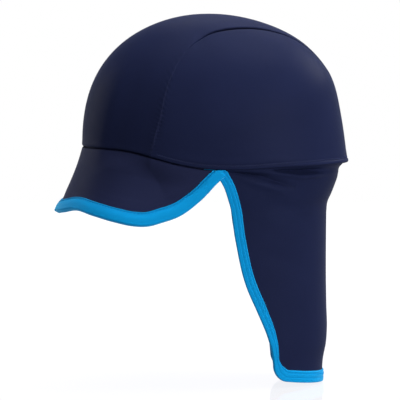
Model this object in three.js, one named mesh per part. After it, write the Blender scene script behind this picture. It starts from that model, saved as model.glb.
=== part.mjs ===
// A child's sun-safe swim cap in stretch cloth: a close crown sewn from three panels, a soft
// peak with a bound edge, and a neck flap with a bound edge that hangs from the crown's rim.
// Millimetres. +Z is up, the front is -Y and the cap's own left is +X. The origin is on the
// middle line of the head, at the level where the crown is widest.

import * as THREE from 'three';

// Crown, as a dome between an oval plan and a rounded side view.
const HALF_WIDTH = 74;
const HALF_LENGTH_FRONT = 87;
const HALF_LENGTH_BACK = 94;
const CROWN_HEIGHT = 88.5;
const DOME_POWER = 2.3;
const PLAN_POWER = 2.15;

// Cloth and tape.
const CROWN_CLOTH = 1.5;
const FLAP_CLOTH = 1.2;
const PEAK_PAD = 2.4;
const PEAK_EDGE = 1.6;
const TAPE = 0.9;
const SEAM_GAP = 0.3;

// Widths of the two bound edges, and how far the cut cloth stops short of the tape's fold.
const PEAK_TAPE_WIDTH = 9;
const FLAP_TAPE_WIDTH = 7;
const TAPE_FOLD = 1.6;

// Stand-off of the crown from the plain dome, by angle in the side view: 0 front, 90 top, 180 back.
const CROWN_TRIM = [
  { angle: -12, out: -0.8 },
  { angle: 20, out: -0.9 },
  { angle: 60, out: -1.6 },
  { angle: 90, out: 0.2 },
  { angle: 118, out: -0.8 },
  { angle: 136, out: 0 },
  { angle: 150, out: 0.7 },
  { angle: 166, out: -0.7 },
  { angle: 192, out: 3.4 },
];

// Seams of the front panel: their angle off the middle line, by the same side-view angle.
// The panel is broad over the forehead and narrows to a point high on the back.
const FRONT_SEAM = [
  { angle: -14, off: 59.3 },
  { angle: 10, off: 62.5 },
  { angle: 34, off: 61.2 },
  { angle: 55, off: 54 },
  { angle: 72, off: 44 },
  { angle: 88, off: 32.4 },
  { angle: 105, off: 23.2 },
  { angle: 119, off: 15 },
  { angle: 130, off: 9.3 },
  { angle: 141, off: 5.8 },
  { angle: 150, off: 1.2 },
];

// Height of the crown's rim from front to back: high over the brow, low at the ears.
const RIM = [
  { y: -90, z: -2.2 },
  { y: -72, z: -2.4 },
  { y: -56, z: -3.9 },
  { y: -40, z: -7.2 },
  { y: -20, z: -12.3 },
  { y: 0, z: -15.4 },
  { y: 18, z: -16 },
  { y: 50, z: -14.7 },
  { y: 96, z: -13.2 },
];
const LOWEST_RIM = -16;

// Peak, by bearing round the rim from the middle of the front: its length down the slope to the
// fold of the tape, how steeply it falls, and how far its free edge flares out.
const PEAK = [
  { bearing: 0, length: 49, slope: 67.2, flare: 6 },
  { bearing: 14, length: 46.7, slope: 68, flare: 6 },
  { bearing: 26, length: 44.3, slope: 69.2, flare: 5 },
  { bearing: 37, length: 46.8, slope: 70.5, flare: 3.5 },
  { bearing: 47, length: 48.6, slope: 73.5, flare: 2 },
  { bearing: 55, length: 48.4, slope: 77, flare: 1 },
  { bearing: 61, length: 46.3, slope: 79.5, flare: 0.5 },
  { bearing: 68, length: 40.6, slope: 81.5, flare: 0 },
  { bearing: 76, length: 33.6, slope: 83, flare: 0 },
  { bearing: 86, length: 21.2, slope: 85, flare: 0 },
  { bearing: 96, length: 7, slope: 86, flare: 0 },
];

// Ends of the peak: where it leaves the rim, where its cloth and its tape end, and how many
// degrees its end leans back for each millimetre down. The pad thins out over the taper.
const PEAK_RIM_END = 92.5;
const PEAK_CLOTH_END = 95;
const PEAK_TAPE_END = 95.2;
const PEAK_END_CUT = 0.5;
const PEAK_TAPER = 6;

// Neck flap where it hangs free, by height: half width, the widest point's place, the back, and
// the fold of the tape on its front edge.
const FLAP = [
  { z: -10, half: 70.5, widest: 0, back: 84, front: 0 },
  { z: -18, half: 70, widest: 0, back: 83, front: 5 },
  { z: -23, half: 69.5, widest: 1, back: 82, front: 8.6 },
  { z: -38, half: 67.5, widest: 3, back: 81.6, front: 14.4 },
  { z: -63, half: 64.5, widest: 5, back: 81.3, front: 18.6 },
  { z: -96, half: 61, widest: 8, back: 81.3, front: 26.5 },
  { z: -112, half: 59.5, widest: 9, back: 81.6, front: 33.5 },
  { z: -128, half: 58, widest: 10, back: 82, front: 40.2 },
  { z: -138, half: 57.2, widest: 11, back: 81.3, front: 43.2 },
  { z: -148, half: 56.4, widest: 12, back: 79.4, front: 44.6 },
  { z: -166, half: 55, widest: 12, back: 78.4, front: 45 },
];
const FOLD_ONSET = 3;
const FLAP_CORNER_HEIGHT = -159.6;
const FLAP_BACK_HEIGHT = -164.2;
const FLAP_CORNER_RADIUS = 10;
const FLAP_PLAN_POWER = 2.2;
const FLAP_TUCK = 4;
const FLAP_CLEARANCE = 0.8;
const FLAP_INSET = CROWN_CLOTH + FLAP_CLEARANCE + FLAP_CLOTH / 2;
const FLAP_TAPE_START = 4;

// How much of the crown's fullness the flap keeps, by depth under the rim.
const FLAP_DRAPE = [
  { under: -6, keep: 1 },
  { under: 0, keep: 0.98 },
  { under: 2.5, keep: 0.78 },
  { under: 11, keep: 0.6 },
  { under: 20, keep: 0.32 },
  { under: 27, keep: 0.06 },
  { under: 34, keep: 0 },
];

// Folds pressed into the flap under the crown, alike on both sides: from one side-view place to
// another, how far they stand out (less than 0 for a valley), and how wide they are.
const FLAP_FOLDS = [
  { y0: 38, z0: -18, y1: 58, z1: -22.5, out: 1.1, wide: 2.6 },
  { y0: 58, z0: -22.5, y1: 86, z1: -21, out: 1.3, wide: 2.6 },
  { y0: 64, z0: -17.6, y1: 88, z1: -16.4, out: -0.9, wide: 1.8 },
  { y0: 26, z0: -19, y1: 56, z1: -30, out: -0.9, wide: 3.2 },
];

// How finely each cloth is divided.
const FRONT_PANEL_GRID = { along: 30, across: 12 };
const SIDE_PANEL_GRID = { front: 9, round: 16, down: 9 };
const PEAK_GRID = { along: 42, down: 6 };
const FLAP_GRID = { across: 34, down: 17 };
const FLAP_ROW_CROWDING = 1.7;
const PEAK_TAPE_STATIONS = 42;
const FLAP_SIDE_STATIONS = 16;
const FLAP_CORNER_STATIONS = 4;
const FLAP_HEM_STATIONS = 26;
const HEM_STEPS = 24;
const SEAM_START = 1.5;
const SEAM_TURN = 67;

// How surfaces are measured: the steps used for their slopes, how often a search halves its
// range, and the ranges of angles in which the rim and the flap's front edge are looked for.
const SURFACE_STEP = 0.4;
const RIM_STEP = 0.5;
const NEAR_EDGE = 0.98;
const HALVINGS = 40;
const HELD_ROUNDS = 4;
const RIM_SEARCH = { low: -25, high: 20 };
const FRONT_EDGE_SEARCH = { low: 60, high: 170 };

const UP = new THREE.Vector3(0, 0, 1);
const rad = THREE.MathUtils.degToRad;
const deg = THREE.MathUtils.radToDeg;

// A smooth curve through a table's rows: cubic pieces whose slopes come from the rows beside them.
function curveThrough(table, key, column) {
  const x = table.map((row) => row[key]);
  const y = table.map((row) => row[column]);
  const last = x.length - 1;
  const slope = x.map((_, i) => {
    if (i === 0) return (y[1] - y[0]) / (x[1] - x[0]);
    if (i === last) return (y[last] - y[last - 1]) / (x[last] - x[last - 1]);
    const before = x[i] - x[i - 1];
    const after = x[i + 1] - x[i];
    const rise = (y[i] - y[i - 1]) / before;
    const next = (y[i + 1] - y[i]) / after;
    return (rise * after + next * before) / (before + after);
  });
  return (at) => {
    const s = THREE.MathUtils.clamp(at, x[0], x[last]);
    let i = 0;
    while (i < last - 1 && s > x[i + 1]) i += 1;
    const step = x[i + 1] - x[i];
    const t = (s - x[i]) / step;
    const t2 = t * t;
    const t3 = t2 * t;
    return y[i] * (2 * t3 - 3 * t2 + 1) + slope[i] * step * (t3 - 2 * t2 + t)
      + y[i + 1] * (3 * t2 - 2 * t3) + slope[i + 1] * step * (t3 - t2);
  };
}

// The same, for a table whose key falls from row to row.
function curveDown(table, key, column) {
  return curveThrough([...table].reverse(), key, column);
}

// The place between low and high where a rising or falling quantity passes through zero.
function zeroBetween(quantity, { low, high }) {
  const startsAbove = quantity(low) > 0;
  let a = low;
  let b = high;
  for (let i = 0; i < HALVINGS; i += 1) {
    const middle = (a + b) / 2;
    if (quantity(middle) > 0 === startsAbove) a = middle;
    else b = middle;
  }
  return (a + b) / 2;
}

// Crown: a point by direction from the origin.

const crownTrim = curveThrough(CROWN_TRIM, 'angle', 'out');
const seamOff = curveThrough(FRONT_SEAM, 'angle', 'off');
const rimHeight = curveThrough(RIM, 'y', 'z');
const TIP_ANGLE = FRONT_SEAM[FRONT_SEAM.length - 1].angle;

// Side-view angle of a direction: 0 to the front, 90 up, 180 to the back.
function sideAngle(direction) {
  const angle = deg(Math.atan2(direction.z, -direction.y));
  return angle < -90 ? angle + 360 : angle;
}

// Outer face of the crown along a direction: a superellipsoid, let out or taken in by the trim.
function crownPoint(direction, inset = 0) {
  const length = direction.y < 0 ? HALF_LENGTH_FRONT : HALF_LENGTH_BACK;
  const plan = (Math.abs(direction.x) / HALF_WIDTH) ** PLAN_POWER
    + (Math.abs(direction.y) / length) ** PLAN_POWER;
  const size = plan ** (DOME_POWER / PLAN_POWER)
    + (Math.abs(direction.z) / CROWN_HEIGHT) ** DOME_POWER;
  const middle = 1 - direction.x ** 2;
  const radius = size ** (-1 / DOME_POWER) + middle * crownTrim(sideAngle(direction));
  return direction.clone().multiplyScalar(radius - inset);
}

// Direction at a side-view angle, leaning off the middle line towards the left.
function leaning(angle, off) {
  return new THREE.Vector3(
    Math.sin(rad(off)),
    -Math.cos(rad(off)) * Math.cos(rad(angle)),
    Math.cos(rad(off)) * Math.sin(rad(angle)),
  );
}

// Direction at a bearing from the front round to the left, raised above the level of the origin.
function raised(bearing, rise) {
  return new THREE.Vector3(
    Math.cos(rad(rise)) * Math.sin(rad(bearing)),
    -Math.cos(rad(rise)) * Math.cos(rad(bearing)),
    Math.sin(rad(rise)),
  );
}

// How far a point of the crown lies above the rim.
function aboveRim(point) {
  return point.z - rimHeight(point.y);
}

// How far the crown's rim is raised at a bearing, and its point there.
function rimRise(bearing) {
  return zeroBetween((rise) => aboveRim(crownPoint(raised(bearing, rise))), RIM_SEARCH);
}

function rimPoint(bearing) {
  return crownPoint(raised(bearing, rimRise(bearing)));
}

// Closed cloth from an outer and an inner grid of points, each a list of rows of equal length.
function clothBetween(outer, inner) {
  const rows = outer.length;
  const columns = outer[0].length;
  const points = [...outer.flat(), ...inner.flat()];
  const at = (side, row, column) => side * rows * columns + row * columns + column;
  const faces = [];
  const quad = (a, b, c, d) => faces.push(a, b, c, a, c, d);
  for (let r = 0; r < rows - 1; r += 1) {
    for (let c = 0; c < columns - 1; c += 1) {
      quad(at(0, r, c), at(0, r, c + 1), at(0, r + 1, c + 1), at(0, r + 1, c));
      quad(at(1, r, c), at(1, r + 1, c), at(1, r + 1, c + 1), at(1, r, c + 1));
    }
  }
  for (let c = 0; c < columns - 1; c += 1) {
    quad(at(0, 0, c), at(1, 0, c), at(1, 0, c + 1), at(0, 0, c + 1));
    quad(at(0, rows - 1, c), at(0, rows - 1, c + 1), at(1, rows - 1, c + 1), at(1, rows - 1, c));
  }
  const end = columns - 1;
  for (let r = 0; r < rows - 1; r += 1) {
    quad(at(0, r, 0), at(0, r + 1, 0), at(1, r + 1, 0), at(1, r, 0));
    quad(at(0, r, end), at(1, r, end), at(1, r + 1, end), at(0, r + 1, end));
  }
  return closedGeometry(points, faces);
}

// Geometry from points and faces, turned so that the faces look outwards.
function closedGeometry(points, faces) {
  let volume = 0;
  const cross = new THREE.Vector3();
  for (let i = 0; i < faces.length; i += 3) {
    cross.crossVectors(points[faces[i + 1]], points[faces[i + 2]]);
    volume += points[faces[i]].dot(cross);
  }
  const turned = [...faces];
  if (volume < 0) {
    for (let i = 0; i < turned.length; i += 3) {
      [turned[i + 1], turned[i + 2]] = [turned[i + 2], turned[i + 1]];
    }
  }
  const places = points.flatMap((p) => p.toArray());
  const geometry = new THREE.BufferGeometry();
  geometry.setAttribute('position', new THREE.Float32BufferAttribute(places, 3));
  geometry.setIndex(turned);
  geometry.computeVertexNormals();
  return geometry;
}

// Evenly spaced shares from 0 to 1.
function shares(count) {
  return Array.from({ length: count + 1 }, (_, i) => i / count);
}

// Half the seam gap, as an angle at a point of the crown.
function halfGapAngle(point) {
  return deg(SEAM_GAP / 2 / point.length());
}

// Front panel: rows run from the brow over the top to the point high on the back, and columns
// from seam to seam.
function frontPanel() {
  const { along, across } = FRONT_PANEL_GRID;
  const directionAt = (angle, share) => {
    const edge = seamOff(angle);
    const gap = halfGapAngle(crownPoint(leaning(angle, edge)));
    return leaning(angle, share * (edge - gap));
  };
  const columnDirections = shares(across).map((share) => {
    const side = 2 * share - 1;
    const start = zeroBetween((angle) => aboveRim(crownPoint(directionAt(angle, side))), RIM_SEARCH);
    return shares(along).map((step) => directionAt(start + (TIP_ANGLE - start) * step, side));
  });
  const grid = (inset) => columnDirections.map((column) => column.map((d) => crownPoint(d, inset)));
  return clothBetween(grid(0), grid(CROWN_CLOTH));
}

// Bearing of a direction from the front round to the left.
function bearingOf(direction) {
  return deg(Math.atan2(direction.x, -direction.y));
}

// Side panel: columns hang from the front panel's seam straight down to the rim, from the temple
// round to the seam down the middle of the back. The seam rises steeply at first, so columns are
// spaced by its angle there, and by bearing where it runs over the top.
function sidePanel(side) {
  const { front, round, down } = SIDE_PANEL_GRID;
  const seamPoint = (angle) => {
    const edge = seamOff(angle);
    return crownPoint(leaning(angle, edge + halfGapAngle(crownPoint(leaning(angle, edge)))));
  };
  const start = zeroBetween((angle) => aboveRim(seamPoint(angle)) - SEAM_START, RIM_SEARCH);
  const turnBearing = bearingOf(seamPoint(SEAM_TURN));
  const tipBearing = bearingOf(seamPoint(TIP_ANGLE));
  const rising = shares(front).map((share) => start + (SEAM_TURN - start) * share);
  const rounding = shares(round).slice(1).map((share) => {
    const bearing = turnBearing + (tipBearing - turnBearing) * share;
    const range = { low: SEAM_TURN, high: TIP_ANGLE };
    return zeroBetween((angle) => bearingOf(seamPoint(angle)) - bearing, range);
  });
  const seam = [...rising, ...rounding].map(seamPoint);
  const tip = crownPoint(leaning(TIP_ANGLE, 0));
  const underTip = crownPoint(leaning(TIP_ANGLE + 2 * halfGapAngle(tip), halfGapAngle(tip)));
  const columnDirections = [...seam, underTip].map((top) => {
    const bearing = bearingOf(top);
    const rise = deg(Math.asin(top.z / top.length()));
    const end = rimRise(bearing);
    return shares(down).map((share) => raised(bearing, rise + (end - rise) * share));
  });
  const grid = (inset) => columnDirections.map((column) => column.map((d) => {
    const point = crownPoint(d, inset);
    point.x *= side;
    return point;
  }));
  return clothBetween(grid(0), grid(CROWN_CLOTH));
}

// Peak: its middle surface, by bearing round the rim and distance down the slope.

const peakLength = curveThrough(PEAK, 'bearing', 'length');
const peakSlope = curveThrough(PEAK, 'bearing', 'slope');
const peakFlare = curveThrough(PEAK, 'bearing', 'flare');

function peakPoint(bearing, down) {
  const place = Math.abs(bearing);
  const slope = rad(peakSlope(place));
  const alongRim = rimPoint(bearing + RIM_STEP).sub(rimPoint(bearing - RIM_STEP));
  const outward = alongRim.cross(UP).setZ(0).normalize();
  const share = down / peakLength(place);
  const out = down * Math.cos(slope) + peakFlare(place) * (share * share - share) - PEAK_PAD / 2;
  const point = rimPoint(bearing).addScaledVector(outward, out);
  point.z -= SEAM_GAP + (PEAK_PAD / 2) * Math.cos(slope) + down * Math.sin(slope);
  return point;
}

// Unit normal of a surface given by two numbers, pointing out of the cap.
function normalOf(surface, a, b) {
  const alongA = surface(a + SURFACE_STEP, b).sub(surface(a - SURFACE_STEP, b));
  const alongB = surface(a, b + SURFACE_STEP).sub(surface(a, b - SURFACE_STEP));
  const normal = alongA.cross(alongB).normalize();
  const point = surface(a, b);
  return normal.x * point.x + normal.y * point.y < 0 ? normal.negate() : normal;
}

// Half the peak's thickness: full over the pad, thin where the tape takes it in.
function peakHalfThickness(bearing, down) {
  const edge = peakLength(Math.abs(bearing)) - TAPE_FOLD;
  const taped = edge - PEAK_TAPE_WIDTH;
  const taper = THREE.MathUtils.smoothstep(down, taped - PEAK_TAPER, taped);
  return THREE.MathUtils.lerp(PEAK_PAD, PEAK_EDGE, taper) / 2;
}

// Peak: columns fall from the rim, and past the peak's end they start lower, cut slantwise to
// clear the flap's front edge.
function peak() {
  const { along, down } = PEAK_GRID;
  const face = (sign) => shares(along).map((share) => {
    const bearing = PEAK_CLOTH_END * (2 * share - 1);
    const top = Math.max(Math.abs(bearing) - PEAK_RIM_END, 0) / PEAK_END_CUT;
    const bottom = peakLength(Math.abs(bearing)) - TAPE_FOLD;
    return shares(down).map((step) => {
      const at = top + (bottom - top) * step;
      const lift = sign * peakHalfThickness(bearing, at);
      return peakPoint(bearing, at).addScaledVector(normalOf(peakPoint, bearing, at), lift);
    });
  });
  return clothBetween(face(1), face(-1));
}

// Tape folded round a cloth's cut edge. Stations give the edge on the cloth's middle surface,
// with the cloth on the left as seen from outside. The two wings lie along the cloth, and the
// fold stands past the edge.
function foldedTape(surface, stations, { wing, clothHalf }) {
  const edge = stations.map(({ a, b }) => surface(a, b));
  const inner = clothHalf + SEAM_GAP;
  const outer = inner + TAPE;
  const hollow = TAPE_FOLD - TAPE;
  const sections = stations.map(({ a, b }, i) => {
    const before = edge[Math.max(i - 1, 0)];
    const after = edge[Math.min(i + 1, edge.length - 1)];
    const normal = normalOf(surface, a, b);
    const inward = normal.clone().cross(after.clone().sub(before)).normalize();
    const perMillimetre = inSurface(surface, a, b, inward);
    const place = (inwards, lift) => {
      if (inwards <= 0) {
        return edge[i].clone().addScaledVector(inward, inwards).addScaledVector(normal, lift);
      }
      const atA = a + perMillimetre.a * inwards;
      const atB = b + perMillimetre.b * inwards;
      return surface(atA, atB).addScaledVector(normalOf(surface, atA, atB), lift);
    };
    const section = (lift, fold) => [
      place(wing, lift), place(wing / 2, lift), place(0, lift), place(-fold, lift / 2),
      place(-fold, -lift / 2), place(0, -lift), place(wing / 2, -lift), place(wing, -lift),
    ];
    return { outside: section(outer, TAPE_FOLD), inside: section(inner, hollow) };
  });
  return clothBetween(sections.map((one) => one.outside), sections.map((one) => one.inside));
}

// How the two numbers of a surface change for each millimetre along a direction that lies in it.
function inSurface(surface, a, b, direction) {
  const alongA = surface(a + SURFACE_STEP, b)
    .sub(surface(a - SURFACE_STEP, b))
    .divideScalar(2 * SURFACE_STEP);
  const alongB = surface(a, b + SURFACE_STEP)
    .sub(surface(a, b - SURFACE_STEP))
    .divideScalar(2 * SURFACE_STEP);
  const aa = alongA.dot(alongA);
  const ab = alongA.dot(alongB);
  const bb = alongB.dot(alongB);
  const onA = direction.dot(alongA);
  const onB = direction.dot(alongB);
  const spread = aa * bb - ab * ab;
  return { a: (onA * bb - onB * ab) / spread, b: (onB * aa - onA * ab) / spread };
}

function peakTape() {
  const stations = shares(PEAK_TAPE_STATIONS).map((share) => {
    const bearing = PEAK_TAPE_END * (2 * share - 1);
    return { a: bearing, b: peakLength(Math.abs(bearing)) - TAPE_FOLD };
  });
  return foldedTape(peakPoint, stations, { wing: PEAK_TAPE_WIDTH - TAPE_FOLD, clothHalf: PEAK_EDGE / 2 });
}

// Neck flap: its middle surface, by share of the way from the middle of the back to the front
// edge (less than 0 on the right) and by height.

const flapHalf = curveDown(FLAP, 'z', 'half');
const flapWidest = curveDown(FLAP, 'z', 'widest');
const flapBack = curveDown(FLAP, 'z', 'back');
const flapFront = curveDown(FLAP, 'z', 'front');
const flapKeep = curveThrough(FLAP_DRAPE, 'under', 'keep');

// Plan of the hanging cloth at a height: an oval about its widest point.
function hangingPlan(bearing, z) {
  const across = Math.abs(Math.sin(rad(bearing))) / flapHalf(z);
  const along = Math.abs(Math.cos(rad(bearing))) / (flapBack(z) - flapWidest(z));
  const radius = (across ** FLAP_PLAN_POWER + along ** FLAP_PLAN_POWER) ** (-1 / FLAP_PLAN_POWER);
  return new THREE.Vector2(
    radius * Math.sin(rad(bearing)),
    flapWidest(z) - radius * Math.cos(rad(bearing)),
  );
}

// Plan of the cloth held inside the crown: the crown's own section at a height, taken in by its
// cloth. Below the rim the section at the rim is kept.
function heldPlan(bearing, z) {
  const level = Math.max(z, LOWEST_RIM);
  let reach = HALF_WIDTH;
  let point;
  for (let i = 0; i < HELD_ROUNDS; i += 1) {
    point = crownPoint(raised(bearing, deg(Math.atan2(level, reach))), FLAP_INSET);
    reach = Math.hypot(point.x, point.y);
  }
  return new THREE.Vector2(point.x, point.y);
}

// Bearing at which a plan reaches the front edge of the flap.
function frontBearing(plan, z) {
  return zeroBetween((bearing) => plan(bearing, z).y - flapFront(z), FRONT_EDGE_SEARCH);
}

// How far the pressed folds lift the cloth at a place in the side view.
function foldRelief(y, z) {
  return FLAP_FOLDS.reduce((sum, fold) => {
    const run = new THREE.Vector2(fold.y1 - fold.y0, fold.z1 - fold.z0);
    const from = new THREE.Vector2(y - fold.y0, z - fold.z0);
    const share = THREE.MathUtils.clamp(from.dot(run) / run.lengthSq(), 0, 1);
    const away = from.addScaledVector(run, -share).length() / fold.wide;
    return sum + fold.out * Math.exp(-away * away);
  }, 0);
}

function flapAt(share, z) {
  const side = share < 0 ? -1 : 1;
  const onPlan = (plan) => plan(180 - Math.abs(share) * (180 - frontBearing(plan, z)), z);
  const held = onPlan(heldPlan);
  const under = rimHeight(held.y) - z;
  const plan = onPlan(hangingPlan).lerp(held, flapKeep(under));
  const relief = foldRelief(plan.y, z) * THREE.MathUtils.smoothstep(under, 0, FOLD_ONSET);
  plan.addScaledVector(plan.clone().normalize(), relief);
  return new THREE.Vector3(side * plan.x, plan.y, z);
}

// Length of the hem from the middle of the back to a front corner.
const HEM_HALF = shares(HEM_STEPS).slice(1).reduce((sum, share) => {
  const here = flapAt(share, FLAP_CORNER_HEIGHT);
  return sum + here.distanceTo(flapAt(share - 1 / HEM_STEPS, FLAP_CORNER_HEIGHT));
}, 0);

// The same surface, by millimetres along the hem and by height.
function flapPoint(alongHem, z) {
  return flapAt(alongHem / HEM_HALF, z);
}

// Share at which the cut cloth ends on the front edge, short of the tape's fold.
function frontShare(z) {
  const length = flapAt(1, z).distanceTo(flapAt(NEAR_EDGE, z)) / (1 - NEAR_EDGE);
  return 1 - TAPE_FOLD / length;
}

// Height of the hem's fold, which looks level from the side.
function hemHeight(share) {
  return THREE.MathUtils.lerp(FLAP_BACK_HEIGHT, FLAP_CORNER_HEIGHT, share * share);
}

// Height of the cut cloth above the hem's fold: rounded at the front corners.
function hemCut(share) {
  const fromFront = (1 - Math.abs(share)) * HEM_HALF;
  if (fromFront >= FLAP_CORNER_RADIUS) return TAPE_FOLD;
  const radius = FLAP_CORNER_RADIUS - TAPE_FOLD;
  const across = Math.min(FLAP_CORNER_RADIUS - fromFront, radius);
  return FLAP_CORNER_RADIUS - Math.sqrt(radius * radius - across * across);
}

// Neck flap: columns from inside the crown down to the hem, closer together near the front edges.
function neckFlap() {
  const { across, down } = FLAP_GRID;
  const face = (sign) => shares(across).map((step) => {
    const part = Math.sin((Math.PI / 2) * (2 * step - 1));
    const top = rimHeight(flapAt(part, LOWEST_RIM).y) + FLAP_TUCK;
    const edge = part * frontShare(FLAP_CORNER_HEIGHT);
    const bottom = hemHeight(edge) + hemCut(edge);
    return shares(down).map((row) => {
      const z = top + (bottom - top) * row ** FLAP_ROW_CROWDING;
      const alongHem = part * frontShare(z) * HEM_HALF;
      const lift = (sign * FLAP_CLOTH) / 2;
      return flapPoint(alongHem, z).addScaledVector(normalOf(flapPoint, alongHem, z), lift);
    });
  });
  return clothBetween(face(1), face(-1));
}

// Tape of the flap: down the left front edge, round the hem and up the right front edge.
function flapTape() {
  const cornerTop = FLAP_CORNER_HEIGHT + FLAP_CORNER_RADIUS;
  const start = rimHeight(flapFront(LOWEST_RIM)) - FLAP_TAPE_START;
  const sideEdge = shares(FLAP_SIDE_STATIONS).map((share) => {
    const z = start + (cornerTop - start) * share;
    return { a: frontShare(z) * HEM_HALF, b: z };
  });
  const arc = FLAP_CORNER_RADIUS - TAPE_FOLD;
  const straight = HEM_HALF - FLAP_CORNER_RADIUS;
  const corner = shares(FLAP_CORNER_STATIONS).slice(1).map((share) => {
    const turn = (share * Math.PI) / 2;
    const a = straight + arc * Math.cos(turn);
    return { a, b: hemHeight(a / HEM_HALF) + FLAP_CORNER_RADIUS - arc * Math.sin(turn) };
  });
  const hem = shares(FLAP_HEM_STATIONS).slice(1, -1).map((share) => {
    const a = straight * (1 - 2 * share);
    return { a, b: hemHeight(a / HEM_HALF) + TAPE_FOLD };
  });
  const mirrored = [...sideEdge, ...corner].reverse().map(({ a, b }) => ({ a: -a, b }));
  const stations = [...sideEdge, ...corner, ...hem, ...mirrored];
  return foldedTape(flapPoint, stations, { wing: FLAP_TAPE_WIDTH - TAPE_FOLD, clothHalf: FLAP_CLOTH / 2 });
}

// Finishes: a matt navy stretch cloth and a bright blue binding tape.
const navy = { color: 0x20254a, roughness: 0.6, metalness: 0 };
const blue = { color: 0x0f8fd0, roughness: 0.5, metalness: 0 };

const PIECES = [
  { name: 'crown_front_panel', geometry: frontPanel(), finish: navy },
  { name: 'crown_side_left', geometry: sidePanel(1), finish: navy },
  { name: 'crown_side_right', geometry: sidePanel(-1), finish: navy },
  { name: 'peak', geometry: peak(), finish: navy },
  { name: 'peak_binding', geometry: peakTape(), finish: blue },
  { name: 'neck_flap', geometry: neckFlap(), finish: navy },
  { name: 'flap_binding', geometry: flapTape(), finish: blue },
];

const swimCap = new THREE.Group();
for (const { name, geometry, finish } of PIECES) {
  const mesh = new THREE.Mesh(geometry, new THREE.MeshStandardMaterial(finish));
  mesh.name = name;
  swimCap.add(mesh);
}

export default swimCap;
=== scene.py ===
"""A child's sun-safe swim cap: a close crown sewn from three panels of navy stretch cloth, a soft
bound peak, and a bound neck flap that hangs from the crown's rim. Metres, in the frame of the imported
model: +Z is up, the front is -Y and the cap's own left is +X.
"""

import logging
import math
from dataclasses import dataclass, field, replace
from enum import Enum
from typing import Callable, Sequence

import bpy
import numpy as np
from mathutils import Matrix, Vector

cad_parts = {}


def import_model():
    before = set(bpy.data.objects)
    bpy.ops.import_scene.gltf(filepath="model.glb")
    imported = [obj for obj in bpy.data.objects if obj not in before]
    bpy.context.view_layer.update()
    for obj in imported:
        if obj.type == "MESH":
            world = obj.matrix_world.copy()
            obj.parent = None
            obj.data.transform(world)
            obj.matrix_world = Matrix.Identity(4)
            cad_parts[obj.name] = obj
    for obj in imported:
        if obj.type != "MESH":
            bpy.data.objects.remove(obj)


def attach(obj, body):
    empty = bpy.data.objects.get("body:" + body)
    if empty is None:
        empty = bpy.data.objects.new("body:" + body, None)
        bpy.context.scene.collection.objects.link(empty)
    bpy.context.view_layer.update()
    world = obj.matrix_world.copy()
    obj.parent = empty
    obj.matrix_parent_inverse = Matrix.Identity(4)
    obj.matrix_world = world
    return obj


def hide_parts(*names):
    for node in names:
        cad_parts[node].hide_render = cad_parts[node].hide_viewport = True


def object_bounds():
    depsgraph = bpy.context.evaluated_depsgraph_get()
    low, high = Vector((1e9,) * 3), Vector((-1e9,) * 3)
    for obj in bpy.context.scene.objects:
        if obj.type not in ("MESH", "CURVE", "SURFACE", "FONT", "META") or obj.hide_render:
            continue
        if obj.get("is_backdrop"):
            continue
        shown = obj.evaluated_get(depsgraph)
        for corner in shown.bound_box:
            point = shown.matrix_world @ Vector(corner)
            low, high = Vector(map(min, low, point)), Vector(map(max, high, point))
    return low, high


Array = np.ndarray
LOG = logging.getLogger("swim_cap")

BODY = "root"
HALVINGS = 34
FINE_ANGLE = 0.1
# A distance in metres that the relief of no seam reaches.
FAR = 0.05


class Side(Enum):
    """The cap's own two sides, as the sign of X."""

    LEFT = 1.0
    RIGHT = -1.0


class Slot(Enum):
    """The record's material slots."""

    NAVY = "navy_cloth"
    BLUE = "blue_tape"


class Hold(Enum):
    """How a sheet of cloth is held."""

    STRETCHED = "stretched"
    HUNG = "hung"
    FOLDED = "folded"


@dataclass(frozen=True)
class Curve:
    """A smooth curve through a short table: cubic pieces whose slopes come from the rows beside them.

    at holds the rising places and value the curve's value at each.
    """

    at: tuple[float, ...]
    value: tuple[float, ...]

    def __call__(self, x: Array) -> Array:
        """The curve at each x, kept at its end values past the table's ends.

        Slope at a row = (rise before * step after + rise after * step before) / (both steps).

        Args:
            x: places to read.
        Returns:
            The values there, in x's shape.
        """
        at, value = np.array(self.at, float), np.array(self.value, float)
        step = np.diff(at)
        rise = np.diff(value) / step
        slope = np.empty_like(value)
        slope[0], slope[-1] = rise[0], rise[-1]
        slope[1:-1] = (rise[:-1] * step[1:] + rise[1:] * step[:-1]) / (step[:-1] + step[1:])
        s = np.clip(x, at[0], at[-1])
        i = np.clip(np.searchsorted(at, s, side="right") - 1, 0, len(at) - 2)
        t = (s - at[i]) / step[i]
        ease = t * t * (3 - 2 * t)
        start = slope[i] * step[i] * t * (1 - t) ** 2
        end = slope[i + 1] * step[i] * t * t * (t - 1)
        return value[i] * (1 - ease) + value[i + 1] * ease + start + end


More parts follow.
